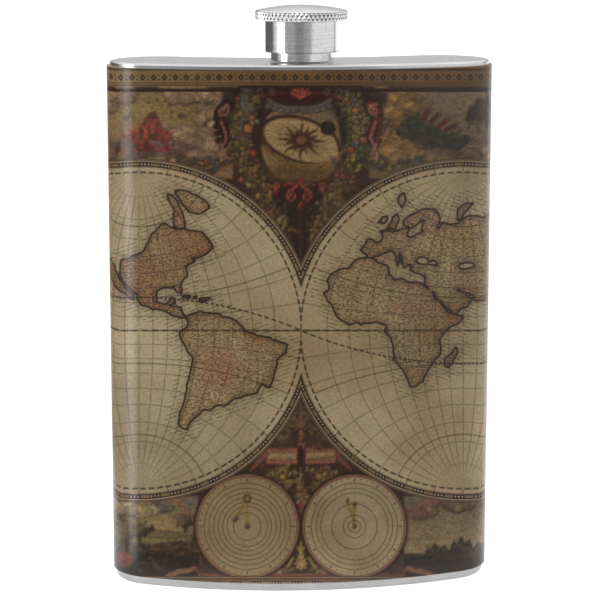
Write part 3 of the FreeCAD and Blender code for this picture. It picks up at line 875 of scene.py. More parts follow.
def paint_cartouche(paint):
    """The tilted compass dial at the top between the hemispheres, in its scrolled frame."""
    paint.shape(curve([(-19, 57.6), (-18.5, 50), (-16.4, 44), (-13.5, 39), (-9, 33.5), (-4, 26), (0, 16),
        (4, 26), (8.5, 33.5), (12.5, 39), (16, 44), (18, 50), (18, 57.6), (-19, 57.6)]), tone(42, 26, 18),
        1.2, 0.92)
    disc = curve([(-9.4, 46), (-8.2, 50.6), (-4.6, 52.9), (0, 53.2), (4.6, 52.9), (8.1, 50.6), (9.3, 46),
        (9, 41.4), (7.2, 37.6), (4.4, 35.9), (1.2, 36), (0, 36.6), (-1.6, 36), (-5, 36.4), (-7.6, 38.6),
        (-9.2, 42), (-9.4, 46)])
    paint.shape(disc, tone(118, 92, 58), 0.4)
    paint.blob((5.5, 50.6), (3.6, 2.4), tone(100, 84, 62), soft=1.2, strength=0.6)
    paint.blob((0, 37.4), (8, 2.6), tone(86, 60, 34), soft=1.6, strength=0.7)
    for k in range(9):
        paint.stroke([(-5.4 + 1.35 * k, 39.0 - 0.12 * k), (-4.9 + 1.2 * k, 37.4)], 0.22, tone(66, 42, 24),
            0.6)
    tilt = -18
    paint.blob((-0.25, 45.0), (10.2, 5.9), tone(40, 24, 16), tilt, 0.4)
    paint.blob((0.15, 44.5), (9.9, 5.6), tone(118, 88, 50), tilt, 0.4)
    for k in range(14):
        angle = math.radians(k * 360 / 14)
        x, y = 9.6 * math.cos(angle), 5.1 * math.sin(angle)
        c, t = math.cos(math.radians(tilt)), math.sin(math.radians(tilt))
        paint.blob((0.15 + x * c - y * t, 44.5 + x * t + y * c), (0.7, 0.35), tone(70, 44, 24),
            math.degrees(angle) + 90 + tilt, 0.3, 0.6)
    paint.blob((-0.8, 44.9), (9.0, 4.75), tone(34, 20, 13), tilt, 0.4, 0.95)
    paint.blob((0.0, 45.2), (9.1, 4.6), tone(150, 124, 82), tilt, 0.35)
    middle = np.array((0.05, 45.3))
    for k in range(32):
        angle = math.radians(k * 11.25)
        far = (8.2, 6.0)[k % 2]
        end = middle + (far * math.cos(angle), far * 0.46 * math.sin(angle) - far * 0.3 * math.cos(angle))
        paint.stroke([middle, end], 0.28, tone(98, 72, 44), 0.55)
    for k in range(16):
        angle = math.radians(k * 22.5)
        reach = 6.3 if k % 2 == 0 else 4.6
        side = np.array((-math.sin(angle), math.cos(angle))) * 0.3
        at = [middle + reach * share * np.array((math.cos(angle),
            0.78 * math.sin(angle))) + side * math.sin(share * 6.3) for share in np.linspace(0.15, 1, 7)]
        paint.stroke(at, 1.4, tone(70, 38, 20), 0.95, 0.9)
    paint.blob(middle, (1.9, 1.6), tone(58, 32, 18), soft=0.4)
    paint.blob(middle, (1.2, 1.0), tone(104, 70, 40), soft=0.4)
    paint.brush([(7.0, 47.4), (8.6, 45.4), (9.2, 42.8)], 0.7, INK_TONE, 0.95)
    paint.blob((6.4, 48.2), (1.85, 1.8), tone(30, 19, 14), soft=0.35)
    for turn in (-40, 0, 40):
        paint.stroke([(6.4, 49.8), (6.4 + 0.026 * turn, 46.9)], 0.22, tone(74, 56, 42), 0.6)
    for side in (-1, 1):
        wing = mirrored([(3, 56.9), (7, 57.4), (9.2, 56.2), (10.2, 53.6), (8.9, 51.6)], side)
        paint.brush(wing, 2.3, tone(30, 17, 12), 1, 0.35, soft=0.4)
        paint.brush(mirrored([(1, 55), (4.5, 55.6), (7.5, 54.9)], side), 2.0, tone(48, 16, 13), 1, 0.3,
            soft=0.4)
        paint.brush(mirrored([(2.6, 56.4), (6, 56.7), (8.6, 55.4)], side), 0.35, tone(96, 48, 34), 0.8)
        for x, y, radius in ((8.7, 56.5, 1.1), (6.0, 56.8, 0.9), (10.2, 51.8, 1.0)):
            at = mirrored([(x, y)], side)[0]
            paint.stroke(volute(at, radius, 90, -side * 1.1), 0.5, tone(86, 66, 50), 0.75, 0.3)
        swag = mirrored([(0, 52.6), (2.6, 52.8), (5, 53.4), (7, 54.6)], side)
        paint.brush(swag, 1.7, tone(58, 48, 42), 0.95, 0.2, soft=0.4)
        paint.brush(np.add(swag, (0, 0.35)), 0.7, tone(98, 88, 76), 0.8, 0.2, soft=0.4)
        for share in range(5):
            puff(paint, mirrored([(0.9 + 1.5 * share, 52.0 + 0.08 * share * share)], side)[0], 0.75,
                tone(90, 80, 68), tone(40, 30, 26))
        horn = mirrored([(9.3, 36.6), (8.2, 34.8), (6.4, 33.6), (4.8, 33.4)], side)
        paint.brush(horn, 2.4, tone(64, 22, 16), 1, 0.5, soft=0.4)
        paint.brush(np.add(horn, (0, 0.6)), 0.5, tone(128, 66, 50), 0.85, 0.3)
        paint.brush(np.add(horn, (0, -0.5)), 0.45, tone(116, 56, 42), 0.85, 0.3)
        paint.stroke(volute(mirrored([(4.9, 34.4)], side)[0], 0.95, 250, side * 1.2), 0.5,
            tone(132, 68, 50), 0.9, 0.3)
        scroll = volute(mirrored([(1.35, 32.1)], side)[0], 1.35, 90, -side * 1.35, mirrored([(0.1, 34.6)],
            side)[0])
        paint.stroke(scroll, 0.6, tone(136, 66, 50), 0.95, 0.3)
        paint.brush(mirrored([(3.2, 34.6), (1.8, 34.9), (0.2, 34.2)], side), 0.4, tone(126, 60, 44), 0.8)
    paint.fan((-0.1, 55.4), range(30, 151, 24), (2.6, 2.4), 0.7, tone(140, 62, 48), 0.9, 0.2)
    paint.fan((-0.1, 35.2), (50, 90, 130), (1.1, 1.1), 0.55, tone(126, 58, 44), 0.9, 0.4)
    paint.fan((-0.1, 30.2), (-130, -90, -50), (1.1, 1.1), 0.55, tone(126, 58, 44), 0.9, 0.4)
    paint.stroke([(-0.1, 29.4), (-0.1, 15.6)], 0.3, tone(88, 64, 50), 0.55)


def acanthus(paint, side):
    """The curled bracket at the outer edge of a garland."""
    fill, light = (tone(46, 17, 13), tone(134, 92, 70)) if side < 0 else (tone(92, 40, 32),
        tone(150, 104, 84))
    body = mirrored([(16.4, 53.6), (18.2, 51.4), (17.4, 48.6), (16.6, 46), (17.4, 44)], side, -0.6)
    paint.brush(body, 3.2, tone(26, 14, 10), 1, 0.4, soft=0.4)
    paint.brush(body, 2.1, fill, 1, 0.4, soft=0.4)
    paint.brush(body, 0.5, light, 0.85, 0.3, soft=0.25)
    for lobe in range(5):
        at = mirrored([(19.0 - 0.3 * abs(lobe - 2.5), 45.2 + 1.7 * lobe)], side, -0.6)[0]
        paint.blob(at, (1.05, 0.8), tone(26, 14, 10), soft=0.3)
        paint.blob(at, (0.8, 0.55), fill, soft=0.3)
    paint.stroke(volute(mirrored([(17.4, 52.4)], side, -0.6)[0], 1.5, 60, side * 1.2), 0.5, light, 0.8,
        0.3)
    paint.stroke(volute(mirrored([(17.2, 41.6)], side, -0.6)[0], 1.1, 90, -side * 1.2,
        mirrored([(17.9, 44.4)], side, -0.6)[0]), 0.6, light, 0.85, 0.3)


def paint_garlands(paint):
    """Leaves, berries and fruit at both sides of the cartouche."""
    for side, seed in ((-1, 40), (1, 60)):
        path = mirrored([(11.6, 55.6), (13.4, 51), (13.6, 46), (12.4, 41.5), (11, 37.5), (9, 33.5),
            (7, 29.5), (5, 25.5), (3.4, 21.5)], side)
        leaves(paint, path, 300, 1.35, 0.95, LEAF_TONES, seed)
        leaves(paint, path, 90, 1.2, 0.7, GOLD_TONES, seed + 1)
        leaves(paint, path[:3], 30, 1.0, 0.9, [tone(84, 82, 78), tone(70, 66, 62)], seed + 3)
        rng = np.random.default_rng(seed + 2)
        line_points = curve(path, 10)
        for _ in range(150):
            at = line_points[rng.integers(len(line_points))] + rng.normal(0, 1.2, 2)
            fruit(paint, at, rng.uniform(0.32, 0.72),
                BERRY_TONES[rng.integers(4)] * rng.uniform(0.7, 1.3))
        if side > 0:
            for _ in range(46):
                at = (14.4 + rng.normal(0, 1.3), 49.6 + rng.normal(0, 1.8))
                fruit(paint, at, rng.uniform(0.3, 0.48), tone(124, 104, 70))
        outer = mirrored([(14.5, 42.5), (17, 40.6), (20.5, 39.4), (25, 39.2), (29, 39.8)], side)
        leaves(paint, outer, 150, 0.7, 1.0, LEAF_TONES + [tone(74, 76, 78), tone(46, 40, 36)], seed + 4)
        for _ in range(22):
            at = curve(outer[:4])[rng.integers(24)] + rng.normal(0, 0.6, 2)
            fruit(paint, at, rng.uniform(0.35, 0.75), BERRY_TONES[rng.integers(4)])
        acanthus(paint, side)
    for at, size, colour in (((-12.6, 48), 1.1, tone(142, 92, 50)), ((-11.3, 42.1), 0.95,
            tone(122, 58, 40)), ((-11.6, 50.7), 0.7, tone(130, 74, 60)), ((-10.5, 49.7), 0.6,
            tone(88, 92, 76)), ((-13.8, 42), 0.6, tone(112, 84, 56)), ((-14.2, 35.8), 0.7,
            tone(118, 78, 54)), ((13.0, 52.3), 0.8, tone(138, 100, 50)), ((14.9, 45.3), 0.9,
            tone(136, 80, 64)), ((11.9, 43.0), 0.85, tone(126, 70, 44)), ((14.4, 43.2), 0.7,
            tone(82, 88, 66)), ((12.4, 40.7), 0.5, tone(140, 116, 72)), ((17, 42), 0.55,
            tone(128, 90, 70))):
        fruit(paint, at, size, colour)


def paint_lower_spandrel(paint):
    """Foliage, berries and two plain ribbons below the meeting of the hemispheres."""
    for side in (-1, 1):
        leaves(paint, mirrored([(1, -20), (3.4, -22.6), (4.6, -25.6)], side, 0), 70, 1.1, 0.75,
            [tone(104, 84, 54), tone(84, 66, 44), tone(66, 56, 42)], 71 + side)
        leaves(paint, mirrored([(2, -27), (6, -27.2), (10, -31)], side, 0), 60, 0.9, 0.6,
            [tone(76, 58, 40), tone(60, 44, 32)], 74 + side)
        cluster = mirrored([(3, -33.4), (5, -34.6), (7.4, -35), (3.6, -37)], side, 0)
        leaves(paint, cluster, 80, 0.8, 0.7, GOLD_TONES + LEAF_TONES[:2], 77 + side)
        rng = np.random.default_rng(80 + side)
        for _ in range(44):
            at = curve(cluster)[rng.integers(24)] + rng.normal(0, 0.8, 2)
            fruit(paint, at, rng.uniform(0.3, 0.6), BERRY_TONES[rng.integers(4)])
        fruit(paint, (side * 4.3, -34.9), 0.75, tone(132, 100, 52))
        leaves(paint, mirrored([(11, -37.6), (18, -40.4), (23, -41)], side, 0), 60, 0.8, 0.9,
            [tone(72, 66, 56), tone(88, 72, 50)], 83 + side)
        ribbon = [(1.2, -28.1), (4.8, -28.4), (8.4, -28.1), (8.4, -31.6), (4.8, -31.9), (1.2, -31.5)]
        shift = -0.25 if side < 0 else -0.15
        ribbon = [(x + shift * side, y) for x, y in mirrored(ribbon, side, 0)]
        paint.shape(np.add(ribbon, (0.15, -0.2)), tone(26, 15, 11), 0.5)
        paint.shape(ribbon, tone(132, 76, 58), 0.25)
        middle = np.mean(ribbon, 0)
        paint.shape(middle + (np.array(ribbon) - middle) * (0.9, 0.66), tone(140, 112, 78), 0.3)
        for height in (-29.1, -29.95, -30.8):
            paint.stroke([(middle[0] - 3.0, height), (middle[0] + 3.0, height)], 0.34, tone(84, 46, 30),
                0.8)
        tail = mirrored([(8.6, -29.6), (10, -31.2), (11.8, -33)], side, 0)
        paint.brush(tail, 1.7, tone(106, 66, 50), 0.95, 0.75, soft=0.4)
    for y in (-22.2, -24.7, -27.3):
        paint.blob((0.15, y), (0.8, 0.65), tone(118, 68, 52), soft=0.35)
    for side in (-1, 1):
        for y, reach in ((-18.6, 1.4), (-20.6, 2.2), (-22.6, 2.6)):
            paint.brush([(0, y - 1.6), (side * reach * 0.5, y - 0.6), (side * reach, y + 0.6)], 0.32,
                tone(96, 78, 58), 0.75)
    paint.stroke([(-0.1, -17), (-0.1, -27.6)], 0.42, tone(114, 88, 54), 0.75)
    paint.stroke([(-0.1, -27.6), (-0.1, -32.4)], 0.9, tone(36, 22, 15), 0.9, soft=0.4)
    paint.stroke([(-0.1, -32.4), (-0.1, -43)], 0.42, tone(114, 88, 54), 0.75)


DIAL_LEFT, DIAL_RIGHT, DIAL_HEIGHT, DIAL_RADIUS = -12.8, 12.72, -46.66, 12.3


def pointer(paint, root, tip, root_width, tip_width):
    """A flat gold wedge between two points."""
    root, tip = np.asarray(root, float), np.asarray(tip, float)
    along = (tip - root) / np.linalg.norm(tip - root)
    side = np.array((-along[1], along[0]))
    paint.shape([root + side * root_width, tip + side * tip_width, tip - side * tip_width,
        root - side * root_width], tone(122, 98, 46), 0.3, 0.95)
    paint.stroke([root, tip], 0.2, tone(82, 58, 28), 0.6)


def knob(paint, at, size):
    """A turned ball with a glint."""
    paint.blob(at, size, tone(48, 28, 18), soft=0.3)
    paint.blob(np.add(at, (-0.25 * size, 0.25 * size)), size * 0.5, tone(122, 88, 62), soft=0.4,
        strength=0.8)


def paint_dials(paint):
    """The two round dials at the bottom, with their pointers."""
    for number, x in enumerate((DIAL_LEFT, DIAL_RIGHT)):
        at = (x, DIAL_HEIGHT)
        ground = tone(128, 109, 80) if number == 0 else tone(144, 125, 96)
        paint.blob(at, DIAL_RADIUS + 0.6, tone(30, 19, 13), soft=0.5, strength=0.9)
        paint.blob(at, DIAL_RADIUS, tone(122, 82, 62), soft=0.3)
        paint.blob(at, 11.75, ground, soft=0.35)
        far = np.hypot(paint.u - x, paint.v - DIAL_HEIGHT)
        stain = mottle(paint.u, paint.v, 7, 80 + number, 4)
        paint.lay(np.clip((11.6 - far) / 0.4, 0, 1) * np.clip(0.16 + 0.34 * stain, 0, 1),
            tone(112, 88, 56))
    x, y = DIAL_LEFT, DIAL_HEIGHT
    pointer(paint, (x, y + 0.4), (x - 0.05, y + 6.2), 0.62, 0.16)
    pointer(paint, (x - 2.7, y + 2.0), (x - 0.5, y + 5.8), 0.6, 0.3)
    paint.stroke(volute((x - 2.9, y + 1.4), 1.1, 0, 0.999), 0.22, INK_TONE, 0.5)
    for turn in range(8):
        angle = math.radians(turn * 45)
        paint.blob((x + 0.75 * math.cos(angle), y + 6.7 + 0.75 * math.sin(angle)), (0.35, 0.3),
            tone(56, 34, 22), soft=0.3)
    paint.blob((x, y + 6.7), 0.5, tone(134, 96, 66), soft=0.3)
    knob(paint, (x - 2.8, y + 1.8), 0.62)
    knob(paint, (x, y), 0.68)
    x = DIAL_RIGHT
    pointer(paint, (x, y + 0.3), (x - 1.6, y + 6.0), 0.2, 0.5)
    pointer(paint, (x, y + 0.3), (x, y + 5.2), 0.2, 0.55)
    knob(paint, (x - 1.65, y + 6.2), 0.45)
    knob(paint, (x, y + 5.4), 0.55)
    knob(paint, (x, y), 0.6)


def paint_between_dials(paint):
    """Gold fleurs and a flower between the dials, and grey fleurs in the outer corners."""
    leaves(paint, [(0, -36.5), (0.4, -39.5), (0, -42)], 50, 0.9, 0.9, GOLD_TONES, 84)
    paint.stroke([(0, -42), (0, -50)], 0.35, tone(110, 60, 46), 0.7)
    paint.blob((0, -41.6), (0.6, 0.75), tone(110, 58, 48), soft=0.35)
    for turn in (-50, 0, 50):
        angle = math.radians(90 + turn)
        base = (0, -52.6)
        paint.brush([(0.5 * math.sin(math.radians(turn)), -54), base, (1.5 * math.cos(angle),
            -52.6 + 2.0 * math.sin(angle))], 0.7, tone(132, 112, 66), 0.9, 0.3)
    for turn in range(8):
        angle = math.radians(turn * 45)
        paint.blob((0.85 * math.cos(angle), -55.5 + 0.85 * math.sin(angle)), (0.75, 0.32),
            tone(136, 104, 66), turn * 45, 0.3)
    paint.blob((0, -55.5), 0.45, tone(150, 126, 84), soft=0.3)
    for side in (-1, 1):
        paint.brush([(side * 2, -54.2), (side * 3.4, -56.4), (side * 5.4, -56.9)], 0.7,
            tone(124, 100, 60), 0.9, 0.3)
        leaves(paint, mirrored([(2.2, -56.8), (4.5, -57.2), (7, -57.4)], side, 0), 24, 0.3, 0.7,
            GOLD_TONES, 88)
        paint.fan((side * 26.4, -41.4), (25, 65, 115, 155, 270), (1.9, 1.7), 0.6, tone(88, 84, 76), 0.85,
            0.3)
        corner = [(side * 33.4, -40.1), (side * 29.6, -41), (side * 26.6, -43.2), (side * 25.3, -46)]
        paint.brush(corner, 0.7, tone(118, 80, 58), 0.95)
        foot = mirrored([(31.6, -58.6), (29, -57.4), (27, -57.2), (25.4, -56.6), (24.6, -57.4)], side, 0)
        paint.brush(foot, 1.3, tone(116, 80, 60), 0.95, 0.4)
        paint.stroke(volute((side * 24.7, -56.9), 0.9, 90, side * 1.2), 0.45, tone(52, 28, 20), 0.8)
    u, v = paint.u, paint.v
    strip = np.clip((-57.75 - v) / 0.25, 0, 1) * (np.abs(u) < 24.6)
    paint.lay(strip, tone(96, 58, 40) * (1 + 0.25 * mottle(u * 2, v * 2, 2, 89))[:, None])


def tree(paint, at, size, seed):
    """A round tree: a trunk and a crown of dabs, lit from the upper left."""
    rng = np.random.default_rng(seed)
    x, y = at
    paint.brush([(x + 0.2, y - size * 1.5), (x, y - size * 0.6), (x - 0.1, y)], size * 0.28,
        tone(36, 24, 16), soft=0.35)
    for _ in range(int(46 * size)):
        shift = rng.normal(0, 0.42, 2) * size * (1.1, 0.75)
        lit = np.clip(0.5 - shift[0] / size * 0.5 + shift[1] / size * 0.6 + rng.normal(0, 0.2), 0, 1)
        colour = tone(38, 27, 18) + lit * (tone(98, 82, 58) - tone(38, 27, 18))
        paint.blob(np.add(at, shift), (0.55, 0.38), colour, rng.uniform(0, 180), 0.3, 0.85)


def paint_left_scene(paint):
    """The lower left corner: billowing sky, trees, low fields and a red gourd."""
    paint_ground(paint, (-68, -58.6), (-24.4, -39.2), tone(110, 96, 74), tone(116, 96, 58), 101)
    cloud_bank(paint, [(-66, -41.6), (-50, -41), (-40, -40.8), (-32, -41.4)], 37, 0.6, 1.2,
        [tone(92, 84, 72), tone(84, 74, 62)], tone(66, 56, 46), 102)
    cloud_bank(paint, [(-66, -44), (-54, -43.6), (-44, -42.4), (-35, -42.8)], 43, 0.7, 1.5,
        [tone(134, 118, 88), tone(122, 104, 76)], tone(88, 74, 54), 103)
    paint.blob((-33, -46.4), (5.4, 2.2), tone(132, 110, 70), soft=1.6, strength=0.8)
    for row, (height, colour) in enumerate(((-47.8, tone(88, 76, 48)), (-49.2, tone(100, 86, 52)), (-50.6,
            tone(62, 48, 28)), (-51.9, tone(76, 60, 32)), (-53.2, tone(36, 25, 14)))):
        crest = [(x, height + 0.35 * math.sin(x * 0.5 + row * 2)) for x in range(-68, -23)]
        paint.shape([(-68, -59)] + crest + [(-24, -59)], colour, 0.4, 0.9)
        paint.stroke(crest, 0.3, tone(52, 38, 24), 0.6, soft=0.35)
    for at, size, seed in (((-60, -47), 3.6, 111), ((-53, -48), 3.2, 112), ((-45, -45.6), 3.0, 104),
            ((-41.6, -48), 3.0, 105), ((-38.6, -47.4), 2.5, 106), ((-27.6, -45.2), 2.4, 107),
            ((-26, -49.4), 1.6, 108)):
        tree(paint, at, size, seed)
    dark = [tone(20, 12, 7), tone(34, 24, 14), tone(48, 35, 20)]
    leaves(paint, [(-66, -56), (-50, -55.4), (-40, -54), (-34, -54.6), (-28, -55)], 260, 1.2, 1.0, dark,
        109)
    for at, size in (((-33.8, -51.6), 1.2), ((-29.4, -51.2), 1.7), ((-28.2, -52.8), 1.5)):
        leaves(paint, [at, np.add(at, (0.4, -0.6))], 34, size * 0.42, 0.7, dark + [tone(96, 66, 40)], 113)
    paint.blob((-42.2, -54.9), (2.3, 1.9), tone(44, 22, 15), soft=0.4)
    paint.blob((-42.2, -54.7), (2.1, 1.7), tone(132, 66, 46), soft=0.5)
    for lean in (-1.3, -0.6, 0, 0.6, 1.3):
        paint.stroke(curve([(-42.2, -53.1), (-42.2 + lean * 1.1, -54.6), (-42.2 + lean, -56.2)], 5), 0.25,
            tone(88, 38, 26), 0.65)
    leaves(paint, [(-37.6, -56), (-34.6, -56)], 40, 0.7, 0.5, [tone(112, 92, 60),
        tone(96, 58, 38)] + dark, 114)


def paint_right_scene(paint):
    """The lower right corner: a wide sky with slanting rain over dark water and rocks."""
    paint_ground(paint, (24.4, -58.6), (68, -39.2), tone(112, 92, 68), tone(132, 114, 82), 131)
    cloud_bank(paint, [(27, -42.6), (33, -41.6), (40, -41.4), (66, -41.6)], 50, 0.7, 1.4,
        [tone(98, 70, 54), tone(84, 62, 50), tone(114, 88, 64)], tone(70, 50, 40), 132)
    for k in range(9):
        x = 37.6 + k * 0.75
        paint.stroke([(x + 2.4, -43), (x, -48)], 0.26, tone(82, 66, 44), 0.6)
    for row in range(5):
        y = -45 - row * 0.9
        paint.stroke([(26 + row, y), (40 + row, y - 0.2)], 0.3, tone(106, 86, 58), 0.35, soft=0.35)
    paint.stroke([(24.6, -49.6), (68, -49.6)], 0.3, tone(94, 76, 52), 0.8)
    paint.shape([(24.4, -53), (30, -53.3), (36, -52.6), (44, -52.4), (52, -53), (68, -52.8), (68, -59),
        (24.4, -59)], tone(36, 26, 19), 0.6, 0.95)
    rocks = [(29.2, -53.6), (30.2, -51.2), (30.9, -52.2), (31.6, -50.4), (33, -51.6), (34.2, -51.0),
        (35.3, -52.4), (36.4, -49.8), (37.2, -50.6), (38.2, -48.9), (39, -50.4), (40.2, -49.6),
        (41, -51.8), (42.2, -50.2), (43.4, -51.4), (44.6, -50.6), (47, -52.6), (52, -50.4), (55, -52),
        (58, -53.6), (44, -55.4), (34, -55)]
    paint.shape(rocks, tone(22, 14, 10), 0.5)
    paint.shape(np.array(rocks) * (0.985, 1.008) + (0.6, 0.1), tone(52, 40, 29), 0.6, 0.8)
    for x, y in ((30.8, -52.6), (33.4, -52.4), (37.4, -51.6), (39.4, -52.4), (42.6, -52.2), (53, -52.4)):
        paint.stroke(curve([(x - 1, y), (x, y + 0.7), (x + 1.2, y - 0.3)], 3), 0.4, tone(84, 66, 46), 0.7)
    rng = np.random.default_rng(140)
    for _ in range(150):
        at = np.array((rng.uniform(25, 66), rng.uniform(-58.2, -53.2)))
        length = rng.uniform(1.2, 4)
        paint.stroke(curve([at, at + (length / 2, 0.25), at + (length, rng.uniform(-0.3, 0.3))], 3), 0.35,
            [tone(72, 56, 42), tone(18, 11, 8), tone(54, 41, 31)][rng.integers(3)], 0.55)


def paint_maps(paint, coast, ring):
    """The hemispheres' sea and land, with washes of faded colour."""
    u, v = paint.u, paint.v
    inside = np.clip((39.6 - ring) / 0.4, 0, 1)
    age = mottle(u, v, 22, 151, 4)
    fine = mottle(u, v, 3.2, 152, 3)
    sea = tone(168, 150, 119) * (1 + 0.13 * age + 0.05 * fine)[:, None]
    sea = sea * (1 - 0.26 * np.clip((-v - 2) / 26, 0, 1) * np.clip(-u / 12, 0, 1))[:, None]
    stain = np.clip(mottle(u, v, 30, 153, 3) * 1.6 - 0.1, 0, 1)[:, None]
    sea = sea + stain * (tone(150, 126, 88) - sea) * 0.6
    paint.lay(inside, sea)
    land = tone(158, 134, 98) * (1 + 0.10 * age + 0.16 * fine)[:, None]
    for hue, seed, size in ((tone(148, 82, 58), 154, 9), (tone(150, 118, 54), 155, 11),
            (tone(124, 76, 40), 156, 10)):
        share = np.clip(mottle(u, v, size, seed, 2) * 2.4 - 0.35, 0, 1)[:, None]
        land = land + share * (hue - land) * 0.5
    paint.lay(inside * np.clip(coast / 0.35 + 0.5, 0, 1) * 0.92, land)
    rim = np.clip(1 - np.abs(coast - 0.5) / 0.8, 0, 1) * (coast > -0.2)
    paint.lay(inside * rim * 0.55, tone(104, 62, 34))
    shoal = np.clip(1 - np.abs(coast + 0.6) / 1.2, 0, 1) * (coast < 0)
    paint.lay(inside * shoal * 0.28, tone(96, 78, 54))


def paint_back(paint):
    """A plain dark damask on the back, between the hemispheres' far edges."""
    u, v = paint.u, paint.v
    far = np.abs(u)
    x = (far - 92) / 8 * math.pi
    y = v / 11 * math.pi
    lobes = np.cos(x) * np.cos(y) + 0.45 * np.cos(3 * x) * np.cos(y * 2) + 0.3 * np.cos(x * 2 + y * 3)
    share = np.clip((lobes - 0.35) / 0.12, 0, 1) * np.clip((far - 74) / 6, 0, 1)
    share = share * (v < 56) * (v > -57)
    paint.lay(share * 0.5, tone(92, 68, 42))
    veins = np.clip(1 - np.abs(lobes - 0.7) / 0.06, 0, 1) * share
    paint.lay(veins * 0.7, tone(48, 32, 22))


def paint_wrap(u, v):
    """The colours of the print at the wrap's points, and the distance to the coasts."""
    side = np.where(u < 0, -1.0, 1.0)
    ring = np.hypot((u - side * MAP_ASIDE) / MAP_WIDE, v / MAP_HIGH)
    coast = coast_distance(u, v)
    paint = Painter(u, v)
    paint.colour *= (1 + 0.35 * mottle(u, v, 4, 1, 4))[:, None]
    paint_back(paint)
    paint_left_panel(paint)
    paint_right_panel(paint)
    paint_cartouche(paint)
    paint_garlands(paint)
    paint_lower_spandrel(paint)
    paint_left_scene(paint)
    paint_right_scene(paint)
    low = np.clip((-52.5 - v) / 2.5, 0, 1) * (np.abs(u) > 24.8) * (v > -58.4)
    paint.lay(low * 0.55, tone(20, 12, 8))
    paint_between_dials(paint)
    paint_maps(paint, coast, ring)
    paint_dials(paint)
    paint_title(paint)
    return np.clip(paint.colour, 0, 1), coast


# ----------------------------------------------------------------------------- wrap
CHART_REACH = 546.4          # the chart's mm are true at this distance from the eye
CHART_SHIFT = (-0.24, 7.26)
EASE_RUN = 15.0              # run past the chart's edges in which the pattern's pace eases up


def chart_place(s, z, edge):
    """Where points of the wrap lie on the chart: flat to the eye, then round the ends."""
    eye_x, eye_y, eye_z = eye_point()
    held = np.clip(s, -edge, edge)
    hx, hy, _, _ = outline(held)
    dx, dy, dz = hx - eye_x, hy - eye_y, z - eye_z
    aside = dx * math.cos(EYE_YAW) - dy * math.sin(EYE_YAW)
    ahead = dx * math.sin(EYE_YAW) + dy * math.cos(EYE_YAW)
    depth = ahead * math.cos(EYE_TILT) - dz * math.sin(EYE_TILT)
    rise = ahead * math.sin(EYE_TILT) + dz * math.cos(EYE_TILT)
    over = np.abs(s) - np.abs(held)
    eased = np.where(over < EASE_RUN, over ** 2 / (2 * EASE_RUN), over - EASE_RUN / 2)
    u = CHART_REACH * aside / depth + CHART_SHIFT[0] + np.sign(s) * (0.6 * over + 0.4 * eased)
    return u, CHART_REACH * rise / depth + CHART_SHIFT[1]


def spaced(stops):
    """Places along a line whose spacing changes at stops: (end, spacing) pairs from 0."""
    made, start = [0.0], 0.0
    for end, step in stops:
        count = max(1, round((end - start) / step))
        made += list(start + (end - start) * np.arange(1, count + 1) / count)
        start = end
    return np.array(made)


def make_wrap(material):
    """The printed sheet: one piece round the body, with its joint at the middle of the back."""
    low, high = (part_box("wrap")[k].z / MM for k in (0, 1))
    sheet, gap, bevel = 0.55, 0.3, 0.06
    half = HALF_ROUND - gap / 2
    right = spaced([(49, 0.38), (60, 0.7), (half - bevel, 1.3)])
    s = np.concatenate([-right[:0:-1], right])
    heights = low + bevel + spaced([(27, 0.38), (97, 0.64), (high - low - 2 * bevel, 0.38)])
    profile = [(sheet, low), (bevel, low)] + [(0.0, z) for z in heights] + [(bevel, high), (sheet, high)]
    points = np.concatenate(outline_rows(profile, s))
    count, columns = len(profile), len(s)
    faces = loop_faces(count, columns, closed=False)
    # the inner face joins the last row to the first, and each end at the joint is one face
    last = (count - 1) * columns
    faces += [(last + c, last + c + 1, c + 1, c) for c in range(columns - 1)]
    faces.append(tuple(r * columns for r in range(count)))
    faces.append(tuple(r * columns + columns - 1 for r in reversed(range(count))))
    wrap = mesh_piece("wrap", points, faces, "flask", "wrap")
    mesh = wrap.data
    edge = FRONT_RUN + CORNER_RADIUS * (math.radians(53) - SPREAD)
    u, v = chart_place(np.tile(s, count), points[:, 2], edge)
    colour, coast = paint_wrap(u, v)
    rgba = np.concatenate([colour, np.ones((len(u), 1))], 1)
    for name, kind, key, values in (("chart", "FLOAT_VECTOR", "vector", np.stack([u, v, coast], 1)),
            ("paint", "FLOAT_COLOR", "color", rgba)):
        mesh.attributes.new(name, kind, "POINT").data.foreach_set(key, values.astype(np.float32).ravel())
    mesh.set_sharp_from_angle(angle=math.radians(50))
    mesh.materials.append(material)


def map_place(u, v):
    """A point's place from the middle of its hemisphere: across, up and the distance."""
    x = (u - fn("SIGN", u) * MAP_ASIDE) / MAP_WIDE
    y = v / MAP_HIGH
    return x, y, off(x, y)


def dial_place(u, v):
    """A point's place from the middle of its dial: across, up and the distance."""
    x = abs(u - (DIAL_LEFT + DIAL_RIGHT) / 2) - (DIAL_RIGHT - DIAL_LEFT) / 2
    y = v - DIAL_HEIGHT
    return x, y, off(x, y)


class Layers:
    """A colour that inks are laid over, one after another."""

    def __init__(self, colour):
        self.colour = colour

    def lay(self, share, ink, kind="MIX"):
        self.colour = mix(share, self.colour, ink, kind)


